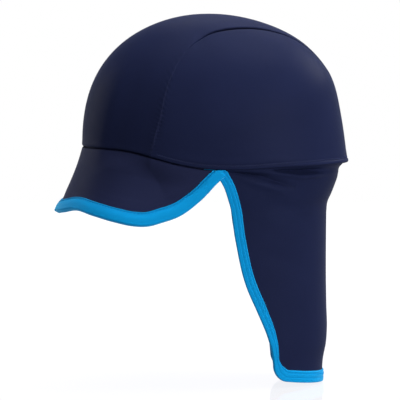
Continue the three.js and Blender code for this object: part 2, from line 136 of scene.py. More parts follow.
@dataclass(frozen=True)
class Fold:
    """A fold pressed into cloth, from one side-view place (y, z) to another.

    out is how far it stands out, less than 0 for a valley, and wide is its width. keen is 2 for a round
    fold and near 1 for a sharp one, and steep is how much narrower its side of higher Y is.
    """

    start: tuple[float, float]
    end: tuple[float, float]
    out: float
    wide: float
    keen: float = 2.0
    steep: float = 1.0

    def relief(self, y: Array, z: Array) -> Array:
        """Height of the fold: out * exp(-(distance to the fold's line / wide)^keen), eased at its ends.

        Args:
            y: places along Y.
            z: places along Z.
        Returns:
            The height at each place.
        """
        run_y, run_z = self.end[0] - self.start[0], self.end[1] - self.start[1]
        length2 = run_y**2 + run_z**2
        share = ((y - self.start[0]) * run_y + (z - self.start[1]) * run_z) / length2
        held = np.clip(share, 0, 1)
        off_y, off_z = y - self.start[0] - held * run_y, z - self.start[1] - held * run_z
        away = np.sqrt(off_y**2 + off_z**2 + 1e-8)
        wide = self.wide / np.where(off_y > 0, self.steep, 1.0)
        fade = 0.35 + 0.65 * np.sin(np.pi * held)
        return self.out * fade * np.exp(-((away / wide) ** self.keen))


def smoothstep(x: Array, low: float, high: float) -> Array:
    """Rises smoothly from 0 at low to 1 at high: t^2 (3 - 2 t)."""
    t = np.clip((x - low) / (high - low), 0, 1)
    return t * t * (3 - 2 * t)


def bell(distance: Array, wide: float) -> Array:
    """Falls from 1 at no distance towards 0: exp(-(distance / wide)^2)."""
    return np.exp(-((distance / wide) ** 2))


def crowded(count: int, start: float, end: float) -> Array:
    """Numbers from 0 to 1 in count steps, closer together towards the ends.

    share = tanh of a line from -start to end, scaled to run from 0 to 1.

    Args:
        count: number of steps.
        start: how strongly they crowd at 0.
        end: how strongly they crowd at 1.
    Returns:
        count + 1 rising numbers.
    """
    low, high = np.tanh(-start), np.tanh(end)
    return (np.tanh(np.linspace(-start, end, count + 1)) - low) / (high - low)


def zero_between(quantity: Callable[[Array], Array], low: Array, high: Array) -> Array:
    """Where a quantity that rises or falls passes through zero, by halving each range.

    Args:
        quantity: the quantity at an array of places.
        low: the ranges' low ends.
        high: the ranges' high ends.
    Returns:
        The places of the zeros.
    """
    a, b = np.array(low, float), np.array(high, float)
    starts_above = quantity(a) > 0
    for _ in range(HALVINGS):
        middle = (a + b) / 2
        same = (quantity(middle) > 0) == starts_above
        a = np.where(same, middle, a)
        b = np.where(same, b, middle)
    return (a + b) / 2


def leaning(angle: Array, off: Array) -> Array:
    """Direction at a side-view angle (0 front, 90 top, 180 back), leaning off the middle by off degrees."""
    a, o = np.broadcast_arrays(np.radians(angle), np.radians(off))
    return np.stack([np.sin(o), -np.cos(o) * np.cos(a), np.cos(o) * np.sin(a)], axis=-1)


def raised(bearing: Array, rise: Array) -> Array:
    """Direction at a bearing from the front round to the left, raised by rise degrees."""
    b, r = np.broadcast_arrays(np.radians(bearing), np.radians(rise))
    return np.stack([np.cos(r) * np.sin(b), -np.cos(r) * np.cos(b), np.sin(r)], axis=-1)


def side_angle(direction: Array) -> Array:
    """Side-view angle of a direction: 0 to the front, 90 up, 180 to the back."""
    angle = np.degrees(np.arctan2(direction[..., 2], -direction[..., 1]))
    return np.where(angle < -90, angle + 360, angle)


def off_angle(direction: Array) -> Array:
    """Degrees by which a direction leans off the middle plane, on either side."""
    return np.degrees(np.arcsin(np.clip(np.abs(direction[..., 0]), 0, 1)))


def unit(vector: Array) -> Array:
    """The vectors at length 1."""
    return vector / np.maximum(np.linalg.norm(vector, axis=-1, keepdims=True), 1e-12)


def mirrored(left: Array, side: Side) -> Array:
    """Points or directions of the left side, turned over where the side is the right one."""
    return left * np.array([side.value, 1, 1])


def zigzag(count: int) -> Array:
    """1 and -1 by turns."""
    return np.where(np.arange(count) % 2 == 0, 1, -1)


def grid_normals(points: Array) -> Array:
    """Unit normals of a grid of points: the cross product of its two central differences.

    Args:
        points: rows by columns by 3.
    Returns:
        The normals, in the same shape, turned away from the cap's middle line.
    """
    down, along = np.gradient(points, axis=0), np.gradient(points, axis=1)
    normal = unit(np.cross(down, along))
    outward = np.sum(normal[..., :2] * points[..., :2])
    return normal if outward > 0 else -normal


def grid_uv(points: Array) -> Array:
    """Flat coordinates of a grid of points: lengths along its rows and its columns.

    Args:
        points: rows by columns by 3.
    Returns:
        Rows by columns by 2, in metres, with 0 across at the middle of each row.
    """
    along = np.linalg.norm(np.diff(points, axis=1), axis=-1)
    down = np.linalg.norm(np.diff(points, axis=0), axis=-1)
    u = np.concatenate([np.zeros((points.shape[0], 1)), np.cumsum(along, axis=1)], axis=1)
    v = np.concatenate([np.zeros((1, points.shape[1])), np.cumsum(down, axis=0)], axis=0)
    return np.stack([u - u[:, -1:] / 2, v], axis=-1)


def mesh_piece(
    name: str, points: Array, quads: Array, uv: Array, painted_shade: Array | None = None
) -> bpy.types.Object:
    """A smooth mesh object from points and four-cornered faces, with a UV map and a point attribute of
    painted shade.

    Args:
        name: the piece's name.
        points: N by 3.
        quads: M by 4 indices.
        uv: N by 2 flat coordinates in metres.
        painted_shade: N numbers from 0 to 1 that darken the colour, 1 at the bottom of a seam or groove.
    Returns:
        The object, linked to the scene, with its faces looking outwards.
    """
    a, b, c, d = (points[quads[:, i]] for i in range(4))
    volume = np.sum(a * np.cross(b, c)) + np.sum(a * np.cross(c, d))
    if volume < 0:
        quads = quads[:, ::-1]
    mesh = bpy.data.meshes.new(name)
    mesh.vertices.add(len(points))
    mesh.vertices.foreach_set("co", points.astype(np.float32).ravel())
    mesh.loops.add(quads.size)
    mesh.loops.foreach_set("vertex_index", quads.astype(np.int32).ravel())
    mesh.polygons.add(len(quads))
    mesh.polygons.foreach_set("loop_start", np.arange(0, quads.size, 4, dtype=np.int32))
    mesh.polygons.foreach_set("loop_total", np.full(len(quads), 4, np.int32))
    mesh.polygons.foreach_set("use_smooth", np.ones(len(quads), bool))
    flat = mesh.uv_layers.new(name="cloth")
    flat.data.foreach_set("uv", uv[quads.ravel()].astype(np.float32).ravel())
    depth = np.zeros(len(points)) if painted_shade is None else painted_shade
    # The painted shade goes on as a point attribute, which the cloth's material darkens its colour by.
    layer = mesh.attributes.new("painted_shade", "FLOAT", "POINT")
    layer.data.foreach_set("value", depth.astype(np.float32))
    mesh.update(calc_edges=True)
    mesh.validate()
    piece = bpy.data.objects.new(name, mesh)
    bpy.context.scene.collection.objects.link(piece)
    return piece


def grid_quads(corner: Array) -> Array:
    """Corner indices of the faces of a grid, row by row, from the grid of its points' numbers."""
    faces = np.stack([corner[:-1, :-1], corner[:-1, 1:], corner[1:, 1:], corner[1:, :-1]], axis=-1)
    return faces.reshape(-1, 4)


def cloth_between(name: str, outer: Array, inner: Array, painted_shade: Array | None = None) -> bpy.types.Object:
    """Closed cloth between an outer and an inner grid of points, joined by a strip round their edge.

    Args:
        name: the piece's name.
        outer: rows by columns by 3.
        inner: the same for the inner face.
        painted_shade: rows by columns, painted shade on the outer face in a seam or groove.
    Returns:
        The mesh object.
    """
    rows, columns = outer.shape[:2]
    count = rows * columns
    corner = np.arange(count).reshape(rows, columns)
    ring = np.concatenate([corner[0, :], corner[1:, -1], corner[-1, -2::-1], corner[-2:0:-1, 0]])
    after = np.roll(ring, -1)
    faces = grid_quads(corner)
    strip = np.stack([ring, ring + count, after + count, after], axis=-1)
    quads = np.concatenate([faces, faces[:, ::-1] + count, strip])
    uv = grid_uv(outer).reshape(-1, 2)
    depth = np.zeros(count) if painted_shade is None else painted_shade.ravel()
    points = np.concatenate([outer.reshape(-1, 3), inner.reshape(-1, 3)])
    return mesh_piece(name, points, quads, np.concatenate([uv, uv]), np.concatenate([depth, 0.6 * depth]))


def stitch_row(name: str, ends: Array, outwards: Array, wide: float) -> bpy.types.Object:
    """Thread stitches from each point of a zig-zag to the next: small rounded bars, bowed out of the cloth.

    With s from -1/2 to 1/2 along a stitch, half its thickness is wide / 2 * sqrt(1.12 - (2 s)^4), and its
    bow is 1.6 wide (1/4 - s^2).

    Args:
        name: the piece's name.
        ends: N by 3, the zig-zag's points on the cloth's face.
        outwards: N by 3, the way out of the cloth at each, all about as long.
        wide: the thread's thickness.
    Returns:
        The mesh object, one closed bar a stitch.
    """
    step = np.diff(ends, axis=0)
    length = float(np.linalg.norm(step, axis=1).mean())
    centre, run = (ends[1:] + ends[:-1]) / 2, unit(step)
    normal = unit(outwards[1:] + outwards[:-1])
    across = unit(np.cross(normal, run))
    along = np.linspace(-0.5, 0.5, 6)
    full = np.sqrt(np.maximum(1.12 - (2 * along) ** 4, 0.02)) * wide / 2
    bow = (0.25 - along**2) * 1.6 * wide
    turn = np.radians(45 + 90.0 * np.arange(4))
    side, up = np.cos(turn), np.sin(turn)
    ring = centre[:, None, None] + run[:, None, None] * (along * length)[None, :, None, None]
    ring = ring + across[:, None, None] * (full[:, None] * side[None])[None, ..., None]
    ring = ring + normal[:, None, None] * (bow[:, None] + full[:, None] * up[None])[None, ..., None]
    count, rings, sides = len(centre), len(along), len(turn)
    corner = np.arange(rings * sides).reshape(rings, sides)
    beside = np.roll(corner, -1, axis=1)
    bar = np.stack([corner[:-1], beside[:-1], beside[1:], corner[1:]], axis=-1).reshape(-1, 4)
    quads = np.concatenate([bar, corner[:1, ::-1], corner[-1:]])
    quads = (quads[None] + (np.arange(count) * rings * sides)[:, None, None]).reshape(-1, 4)
    points = ring.reshape(-1, 3)
    uv = np.stack([np.tile(np.repeat(along * length, sides), count), np.zeros(len(points))], axis=-1)
    return mesh_piece(name, points, quads, uv)


def ride(piece: bpy.types.Object, slot: Slot, material: bpy.types.Material, *nodes: str) -> None:
    """Gives a piece its finish, its body and the CAD nodes that it stands for.

    Args:
        piece: the mesh object.
        slot: the record's slot that its finish comes from; not used.
        material: the finish.
        nodes: names of the replaced nodes.
    """
    piece.data.materials.append(material)
    if nodes:
        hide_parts(*nodes)
    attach(piece, BODY)


def report(pieces: Sequence[bpy.types.Object]) -> None:
    """Logs each piece's name and its number of faces."""
    for piece in pieces:
        LOG.info("%s: %d faces", piece.name, len(piece.data.polygons))


class Nodes:
    """A small helper for building shader node trees by name."""

    def __init__(self, tree: bpy.types.NodeTree) -> None:
        """Keeps the tree that nodes go into."""
        self.tree = tree

    def add(self, kind: str, **settings: object) -> bpy.types.Node:
        """Adds a node.

        Args:
            kind: the node's type.
            settings: its properties by name.
        Returns:
            The node.
        """
        node = self.tree.nodes.new(kind)
        for key, value in settings.items():
            setattr(node, key, value)
        return node

    def link(self, start: bpy.types.NodeSocket, end: bpy.types.NodeSocket) -> None:
        """Joins an output to an input."""
        self.tree.links.new(start, end)

    def feed(self, socket: bpy.types.NodeSocket, value: object) -> None:
        """Feeds an input.

        Args:
            socket: the input.
            value: another node's output to join to it, or a plain value to set it to.
        """
        if isinstance(value, bpy.types.NodeSocket):
            self.link(value, socket)
        else:
            socket.default_value = value

    def maths(self, operation: str, *values: object) -> bpy.types.NodeSocket:
        """Adds a Math node.

        Args:
            operation: what it works out.
            values: outputs or plain values for its inputs, in order.
        Returns:
            Its output.
        """
        node = self.add("ShaderNodeMath", operation=operation)
        for socket, value in zip(node.inputs, values):
            self.feed(socket, value)
        return node.outputs[0]

    def noise(self, place: bpy.types.NodeSocket, scale: float, detail: float) -> bpy.types.NodeSocket:
        """Adds a Noise node.

        Args:
            place: where it is read.
            scale: its waves per metre.
            detail: how many finer waves it adds.
        Returns:
            Its output, from 0 to 1.
        """
        node = self.add("ShaderNodeTexNoise", noise_dimensions="3D")
        self.feed(node.inputs["Vector"], place)
        self.feed(node.inputs["Scale"], scale)
        self.feed(node.inputs["Detail"], detail)
        return node.outputs["Fac"]


def knit_group() -> bpy.types.NodeTree:
    """The knit that every cloth shares: fine columns of loops, with slightly uneven colour.

    Height = |sin(pi u / wale)| * (0.7 + 0.3 sin(2 pi v / course + the column's turn)) + 0.5 fine noise.
    Colour = the cloth's colour * (1 + mottle * (slow noise + fine noise - 1)), mixed towards the
    painted shade colour by the painted_shade attribute: painted shade in seams and grooves.
    Roughness = the cloth's roughness + 0.12 (slow noise - 0.5).

    Returns:
        The node group, with inputs Colour, Painted shade colour, Wale, Course, Mottle and Roughness,
        and outputs Colour, Roughness and Height.
    """
    tree = bpy.data.node_groups.new("stretch_knit", "ShaderNodeTree")
    for name, kind, value in (
        ("Colour", "NodeSocketColor", (0.02, 0.02, 0.06, 1)),
        ("Deep", "NodeSocketColor", (0.002, 0.002, 0.008, 1)),
        ("Wale", "NodeSocketFloat", 0.0005),
        ("Course", "NodeSocketFloat", 0.0006),
        ("Mottle", "NodeSocketFloat", 0.1),
        ("Roughness", "NodeSocketFloat", 0.5),
    ):
        tree.interface.new_socket(name, in_out="INPUT", socket_type=kind).default_value = value
    for name, kind in (("Colour", "Color"), ("Roughness", "Float"), ("Height", "Float")):
        tree.interface.new_socket(name, in_out="OUTPUT", socket_type=f"NodeSocket{kind}")
    n = Nodes(tree)
    given, out = n.add("NodeGroupInput"), n.add("NodeGroupOutput")
    uv = n.add("ShaderNodeUVMap", uv_map="cloth")
    flat = n.add("ShaderNodeSeparateXYZ")
    n.link(uv.outputs["UV"], flat.inputs[0])
    across = n.maths("DIVIDE", flat.outputs["X"], given.outputs["Wale"])
    up = n.maths("DIVIDE", flat.outputs["Y"], given.outputs["Course"])
    column = n.maths("ABSOLUTE", n.maths("SINE", n.maths("MULTIPLY", across, math.pi)))
    turn = n.maths("MULTIPLY", n.maths("FLOOR", across), 2.4)
    loop = n.maths("SINE", n.maths("ADD", n.maths("MULTIPLY", up, 2 * math.pi), turn))
    height = n.maths("MULTIPLY", column, n.maths("MULTIPLY_ADD", loop, 0.3, 0.7))
    place = n.add("ShaderNodeTexCoord").outputs["Object"]
    slow, fine = n.noise(place, 34.0, 3.0), n.noise(place, 900.0, 2.0)
    slow_part, fine_part = n.maths("SUBTRACT", slow, 0.5), n.maths("SUBTRACT", fine, 0.5)
    uneven = n.maths("ADD", slow_part, fine_part)
    bright = n.maths("ADD", n.maths("MULTIPLY", uneven, given.outputs["Mottle"]), 1.0)
    tint = n.add("ShaderNodeVectorMath", operation="SCALE")
    n.link(given.outputs["Colour"], tint.inputs[0])
    n.link(bright, tint.inputs["Scale"])
    # Painted shade: the colour is mixed towards the shade colour where the point attribute marks seams and
    # grooves.
    painted_shade = n.add("ShaderNodeAttribute", attribute_name="painted_shade")
    mix = n.add("ShaderNodeMix", data_type="RGBA")
    n.link(painted_shade.outputs["Fac"], mix.inputs["Factor"])
    n.link(tint.outputs[0], mix.inputs["A"])
    n.link(given.outputs["Deep"], mix.inputs["B"])
    n.link(mix.outputs["Result"], out.inputs["Colour"])
    rough = n.maths("ADD", given.outputs["Roughness"], n.maths("MULTIPLY", slow_part, 0.12))
    n.link(rough, out.inputs["Roughness"])
    n.link(n.maths("ADD", height, n.maths("MULTIPLY", fine, 0.5)), out.inputs["Height"])
    return tree


@dataclass(frozen=True)
class KnitFinish:
    """A knitted cloth's finish: its colours, its knit and how it takes light."""

    name: str
    colour: tuple[float, float, float]
    # The colour that painted shade in seams and grooves darkens the cloth towards.
    deep: tuple[float, float, float]
    wale: float
    course: float
    mottle: float
    roughness: float
    sheen: float
    sheen_tint: tuple[float, float, float]
    specular: float
    loop_height: float

    def material(self, knit: bpy.types.NodeTree) -> bpy.types.Material:
        """Builds the material around the shared knit.

        Args:
            knit: the knit's node group.
        Returns:
            The material.
        """
        made = bpy.data.materials.new(self.name)
        made.use_nodes = True
        made.diffuse_color = (*self.colour, 1)
        n = Nodes(made.node_tree)
        shader = made.node_tree.nodes["Principled BSDF"]
        weave = n.add("ShaderNodeGroup", node_tree=knit)
        n.feed(weave.inputs["Colour"], (*self.colour, 1))
        n.feed(weave.inputs["Deep"], (*self.deep, 1))
        for key in ("wale", "course", "mottle", "roughness"):
            n.feed(weave.inputs[key.capitalize()], getattr(self, key))
        bump = n.add("ShaderNodeBump")
        bump.inputs["Distance"].default_value = self.loop_height
        bump.inputs["Strength"].default_value = 0.5
        n.link(weave.outputs["Height"], bump.inputs["Height"])
        n.link(bump.outputs["Normal"], shader.inputs["Normal"])
        n.link(weave.outputs["Colour"], shader.inputs["Base Color"])
        n.link(weave.outputs["Roughness"], shader.inputs["Roughness"])
        shader.inputs["Specular IOR Level"].default_value = self.specular
        shader.inputs["Sheen Weight"].default_value = self.sheen
        shader.inputs["Sheen Roughness"].default_value = 0.3
        shader.inputs["Sheen Tint"].default_value = (*self.sheen_tint, 1)
        return made


NAVY = KnitFinish(
    name="navy_stretch_cloth",
    colour=(0.0100, 0.0135, 0.0407),
    deep=(0.0018, 0.0024, 0.009),
    wale=0.0006,
    course=0.0007,
    mottle=0.16,
    roughness=0.42,
    sheen=0.025,
    sheen_tint=(0.2, 0.35, 1.0),
    specular=0.0102,
    loop_height=0.00006,
)
BLUE = KnitFinish(
    name="blue_binding_tape",
    colour=(0.0037, 0.25, 0.565),
    deep=(0.001, 0.13, 0.36),
    wale=0.0008,
    course=0.0008,
    mottle=0.12,
    roughness=0.5,
    sheen=0.5,
    sheen_tint=(0.2, 0.75, 1.0),
    specular=0.008,
    loop_height=0.00008,
)
# The peak's navy cloth painted lighter than the crown's: painted light that stands in for more light
# falling on the peak.
NAVY_PAINTED_LIGHTER = replace(NAVY, name="navy_cloth_painted_lighter", colour=(0.0146, 0.0180, 0.0490))
# The thread's navy is made lighter than the cloth's as painted highlight, for the glints along its
# stitches.
THREAD = KnitFinish(
    name="navy_thread",
    colour=(0.028, 0.034, 0.085),
    deep=(0.0018, 0.0024, 0.009),
    wale=0.0004,
    course=0.0004,
    mottle=0.1,
    roughness=0.4,
    sheen=0.1,
    sheen_tint=(0.3, 0.5, 1.0),
    specular=0.008,
    loop_height=0.00001,
)


@dataclass
class Crown:
    """The crown: a dome in three panels, one broad at the brow and pointed at the back, and one a side."""

    half_width: float = 0.074
    half_length_front: float = 0.087
    half_length_back: float = 0.094
    height: float = 0.0885
    dome_power: float = 2.3
    plan_power: float = 2.15
    cloth: float = 0.0015
    least_cloth: float = 0.0009
    inner_follow: float = 0.35
    rim_range: tuple[float, float] = (-25.0, 20.0)
    tip_angle: float = 150.0
    seam_turn: float = 67.0
    seam_start: float = 0.0015
    trim: Curve = Curve(
        at=(-12, 20, 60, 90, 118, 136, 150, 166, 192),
        value=(-0.0008, -0.0009, -0.0016, 0.0002, -0.0008, 0, 0.0007, -0.0007, 0.0034),
    )
    seam_off: Curve = Curve(
        at=(-14, 10, 34, 55, 72, 88, 105, 119, 130, 141, 150),
        value=(59.3, 62.5, 61.2, 54, 44, 32.4, 23.2, 15, 9.3, 5.8, 1.2),
    )
    rim: Curve = Curve(
        at=(-0.09, -0.072, -0.056, -0.04, -0.02, 0, 0.018, 0.05, 0.096),
        value=(-0.0022, -0.0024, -0.0039, -0.0072, -0.0123, -0.0154, -0.016, -0.0147, -0.0132),
    )
    # The seam by side-view angle: half its open gap, and how deep and wide the cloth turns into it.
    seam_gap: Curve = Curve(at=(82, 90, 104, 150), value=(0.00006, 0.0003, 0.0006, 0.0005))
    seam_depth: Curve = Curve(at=(60, 82, 92, 110, 150), value=(0.0001, 0.00018, 0.0012, 0.0014, 0.0013))
    seam_round: Curve = Curve(at=(60, 82, 100, 150), value=(0.0007, 0.0009, 0.0018, 0.0016))
    # The turned hem by height over the rim: a roll at the edge, then the groove of its top stitching.
    hem: Curve = Curve(
        at=(0, 0.0003, 0.0008, 0.002, 0.0027, 0.0031, 0.0036, 0.0046, 0.0064, 0.009),
        value=(-0.0008, -0.0002, 0.00015, 0.0003, 0.0002, -0.00002, 0.0001, 0.00025, 0.00018, 0),
    )
    joined_edge: Curve = Curve(
        at=(0, 0.0005, 0.0013, 0.0024, 0.0045),
        value=(-0.0006, -0.0002, 0.0001, 0.00012, 0),
    )
    seam_opens: tuple[float, float] = (84.0, 98.0)
    pucker_height: float = 0.00007
    gather_depth: float = 0.0007
    slack_height: float = 0.00012
    temple_hollow: float = 0.0026
    hem_flare: float = 0.0008
    # Seam edges inside: half their width, and the depth of their two faces under the cloth's inner face.
    allowance_half: float = 0.0034
    allowance_faces: tuple[float, float] = (0.00012, 0.0012)
    rises: Array = field(init=False)
    bearings: Array = field(init=False)

    def __post_init__(self) -> None:
        """Works out the rim's rise at every tenth of a degree of bearing."""
        self.bearings = np.arange(-200, 200 + FINE_ANGLE, FINE_ANGLE)
        self.rises = self.rim_angle(lambda rise: raised(self.bearings, rise), self.bearings.shape)

    def radius(self, direction: Array) -> Array:
        """Distance of the plain dome from the origin along unit directions.

        ((|x|/a)^p + (|y|/b)^p)^(n/p) + (|z|/c)^n = 1, solved for the radius, plus (1 - x^2) * trim.

        Args:
            direction: unit vectors.
        Returns:
            The radius along each.
        """
        x, y, z = (direction[..., i] for i in range(3))
        length = np.where(y < 0, self.half_length_front, self.half_length_back)
        plan = (np.abs(x) / self.half_width) ** self.plan_power + (np.abs(y) / length) ** self.plan_power
        size = plan ** (self.dome_power / self.plan_power) + (np.abs(z) / self.height) ** self.dome_power
        return size ** (-1 / self.dome_power) + (1 - x * x) * self.trim(side_angle(direction))

    def face(self, direction: Array, inset: float | Array = 0.0) -> Array:
        """Points of the plain dome along unit directions, taken in by inset."""
        return direction * (self.radius(direction) - inset)[..., None]

    def over_rim(self, point: Array) -> Array:
        """How far points lie above the rim."""
        return point[..., 2] - self.rim(point[..., 1])

    def rim_angle(self, direction: Callable[[Array], Array], shape: tuple[int, ...]) -> Array:
        """Angles within the rim's range at which directions meet the rim.

        Args:
            direction: directions at an array of angles.
            shape: that array's shape.
        Returns:
            The angles, in degrees.
        """
        low, high = (np.full(shape, angle) for angle in self.rim_range)
        return zero_between(lambda angle: self.over_rim(self.face(direction(angle))), low, high)

    def rim_rise(self, bearing: Array) -> Array:
        """How far the rim is raised at a bearing, in degrees."""
        return np.interp(bearing, self.bearings, self.rises)

    def rim_point(self, bearing: Array) -> Array:
        """Points of the rim's outer edge at a bearing."""
        return self.face(raised(bearing, self.rim_rise(bearing)))

    def seam_direction(self, angle: Array, shift: Array | float) -> Array:
        """Directions along the left seam or beside it.

        Args:
            angle: side-view angles.
            shift: metres off the seam, more than 0 away from the middle.
        Returns:
            Unit directions.
        """
        edge = self.seam_off(angle)
        radius = self.radius(leaning(angle, edge))
        return leaning(angle, edge + np.degrees(shift / radius))

    def seam_distance(self, direction: Array) -> Array:
        """Metres from the nearest front seam, over the surface.

        |lean off the middle - the seam's lean| * radius, made square to the seam by its slant.

        Args:
            direction: unit vectors on the crown.
        Returns:
            The distances, with FAR added past the front panel's point.
        """
        angle = side_angle(direction)
        step = 1.0
        slant = (self.seam_off(angle + step) - self.seam_off(angle - step)) / (2 * step)
        off = off_angle(direction)
        away = np.radians(np.abs(off - self.seam_off(angle))) * self.radius(direction)
        square = away / np.sqrt(1 + (slant / np.maximum(np.cos(np.radians(off)), 0.2)) ** 2)
        past_tip = smoothstep(angle, self.tip_angle, self.tip_angle + 2)
        return square + past_tip * FAR

    def turned_edge(self, distance: Array, depth: Array, wide: Array) -> Array:
        """How far cloth drops as it turns into a seam: depth * (1 - sqrt(1 - (1 - distance / wide)^2))."""
        near = 1 - np.clip(distance / wide, 0, 1)
        return depth * (1 - np.sqrt(np.maximum(1 - near**2, 0)))

    def temple(self, direction: Array) -> Array:
        """How far the front panel sinks beside its seam, low at the temple.

        Depth * (1 - e^(-d / 8 mm)), with d from the seam. It fades out from 26 to 46 mm off the seam, and
        from 28 to 68 mm up.

        Args:
            direction: unit vectors on the crown.
        Returns:
            The depth there, none behind the seam.
        """
        seam = self.seam_distance(direction)
        inside = np.where(off_angle(direction) < self.seam_off(side_angle(direction)), 1.0, 0.0)
        low = 1 - smoothstep(self.face(direction)[..., 2], 0.028, 0.068)
        sunk = (1 - np.exp(-seam / 0.008)) * (1 - smoothstep(seam, 0.026, 0.046))
        return self.temple_hollow * inside * low * sunk

    def front_seam(self, direction: Array) -> tuple[Array, Array]:
        """The turned front seams: closed and puckered low down, gathered where they begin to open.

        Args:
            direction: unit vectors on the crown.
        Returns:
            The height that they add, and the painted shade there from 0 to 1.
        """
        angle = side_angle(direction)
        opened = smoothstep(angle, *self.seam_opens)
        edge = np.maximum(self.seam_distance(direction) - self.seam_gap(angle), 0)
        turned = self.turned_edge(edge, self.seam_depth(angle), self.seam_round(angle))
        along = angle * 0.0015
        pucker = np.sin(along / 0.0061 * 6.283 + 1.3 * np.sin(along / 0.019)) * bell(edge, 0.0045)
        gather = bell(angle - 86, 3.2) * bell(edge, 0.006)
        height = self.pucker_height * pucker * (1 - opened) - turned - self.gather_depth * gather
        return height, bell(edge, 0.0007) * (0.04 + 0.96 * opened)

    def back_seam(self, direction: Array) -> tuple[Array, Array]:
        """The turned seam down the middle of the back, from the front panel's point to the rim.

        Args:
            direction: unit vectors on the crown.
        Returns:
            The height that it adds, and the painted shade there from 0 to 1.
        """
        before_tip = 1 - smoothstep(side_angle(direction), self.tip_angle - 2, self.tip_angle + 4)
        away = np.abs(self.face(direction)[..., 0]) + FAR * before_tip
        turned = self.turned_edge(np.maximum(away - 0.0002, 0), 0.0008, 0.0014)
        return -turned, 0.7 * bell(away, 0.0007)

    def rim_edge(self, direction: Array) -> tuple[Array, Array]:
        """The rim: a plain seam over the peak, and a stitched hem behind it that flares at the back.

        Args:
            direction: unit vectors on the crown.
        Returns:
            The height that it adds, and the painted shade there from 0 to 1.
        """
        point = self.face(direction)
        y, over = point[..., 1], self.over_rim(point)
        hemmed = smoothstep(y, -0.04, -0.01)
        edge = hemmed * self.hem(over) + (1 - hemmed) * self.joined_edge(over)
        flare = smoothstep(y, 0.045, 0.08) * (1 - smoothstep(over, 0.0012, 0.0048))
        return edge + self.hem_flare * flare, 0.7 * bell(over, 0.0005)

    def slack(self, direction: Array) -> Array:
        """Height of the shallow waves of slack in the cloth."""
        y, z = np.moveaxis(self.face(direction)[..., 1:], -1, 0)
        return self.slack_height * np.sin(y / 0.021 + 2 * np.sin(z / 0.03)) * np.sin(z / 0.017 + 1.1)

    def relief(self, direction: Array) -> tuple[Array, Array]:
        """What sewing adds to the dome: seams, the rim's edge, the hollow at the temple, and slack.

        Args:
            direction: unit vectors on the crown.
        Returns:
            The height added along each direction, and the painted shade there from 0 to 1.
        """
        sewn = [part(direction) for part in (self.front_seam, self.back_seam, self.rim_edge)]
        height = sum(added for added, _ in sewn) - self.temple(direction) + self.slack(direction)
        return height, np.maximum.reduce([sunk for _, sunk in sewn])

    def panel(self, name: str, direction: Array) -> bpy.types.Object:
        """Closed cloth over a grid of directions.

        Outer face = dome + relief. Inner face = dome - cloth, which follows a sunk relief by inner_follow
        and stays at least least_cloth under the outer face.

        Args:
            name: the piece's name.
            direction: rows by columns by 3, unit vectors.
        Returns:
            The mesh object.
        """
        height, painted_shade = self.relief(direction)
        outer = direction * (self.radius(direction) + height)[..., None]
        under = self.cloth - self.inner_follow * np.minimum(height, 0)
        inner = self.face(direction, np.maximum(under, self.least_cloth - height))
        return cloth_between(name, outer, inner, painted_shade)

    def front_panel(self) -> bpy.types.Object:
        """The front panel: from the brow over the top to a point high on the back, and seam to seam.

        Returns:
            The mesh object.
        """
        share = crowded(150, 1.7, 1.7) * 2 - 1
        gap = np.sign(share) * np.abs(share) ** 6

        def along(angle: Array) -> Array:
            """Directions over the panel from seam to seam.

            Args:
                angle: side-view angles, one for each column or one for each point.
            Returns:
                Unit directions, short of the seams by half their gap.
            """
            lean = self.seam_off(angle)
            radius = self.radius(leaning(angle, lean))
            return leaning(angle, share * lean - gap * np.degrees(self.seam_gap(angle) / radius))

        start = self.rim_angle(along, share.shape)
        rows = crowded(230, 1.5, 0.35)[:, None]
        return self.panel("crown_front_cloth", along(start + (self.tip_angle - start) * rows))

    def side_directions(self) -> Array:
        """Directions of the left side panel: columns hang from the seam to the rim, rows follow the seam.

        Returns:
            Rows by columns by 3, unit vectors.
        """
        angle = np.linspace(-20, self.tip_angle, 2400)
        seam = self.seam_direction(angle, self.seam_gap(angle))
        bearing = np.degrees(np.arctan2(seam[:, 0], -seam[:, 1]))
        rise = np.degrees(np.arcsin(seam[:, 2]))
        over = self.over_rim(self.face(seam))
        first = np.argmax(over > self.seam_start)
        turn = np.argmax(angle > self.seam_turn)
        front = np.linspace(first, turn, 70).astype(int)
        slow = crowded(150, 0.2, 1.5)[1:]
        round_bearing = bearing[turn] + (179.85 - bearing[turn]) * slow
        top_bearing = np.concatenate([bearing[front], round_bearing])
        round_rise = np.interp(round_bearing, bearing[turn:], rise[turn:])
        top_rise = np.concatenate([rise[front], round_rise])
        down = crowded(110, 1.5, 1.6)[:, None]
        return raised(top_bearing, top_rise + (self.rim_rise(top_bearing) - top_rise) * down)

    def side_panel(self, side: Side) -> bpy.types.Object:
        """One side panel, from the temple seam to the seam down the middle of the back."""
        direction = mirrored(self.side_directions(), side)
        return self.panel(f"crown_side_cloth_{side.name.lower()}", direction)

    def seam_allowance(self, side: Side) -> bpy.types.Object:
        """The trimmed edges of both cloths, pressed flat behind one front seam and ending over the rim.

        Args:
            side: the seam's side.
        Returns:
            The mesh object.
        """
        angle = np.linspace(-6, self.tip_angle + 1, 260)[:, None]
        shift = np.linspace(-self.allowance_half, self.allowance_half, 13)[None, :]
        direction = mirrored(self.seam_direction(angle, shift), side)
        near, far = self.allowance_faces
        thinner = 0.00048 * (shift / self.allowance_half) ** 8
        outer = self.face(direction, self.cloth + near + thinner)
        inner = self.face(direction, self.cloth + far - thinner)
        middle = outer[:, outer.shape[1] // 2]
        keep = self.over_rim(middle) > 0.001
        return cloth_between(f"crown_seam_allowance_{side.name.lower()}", outer[keep], inner[keep])

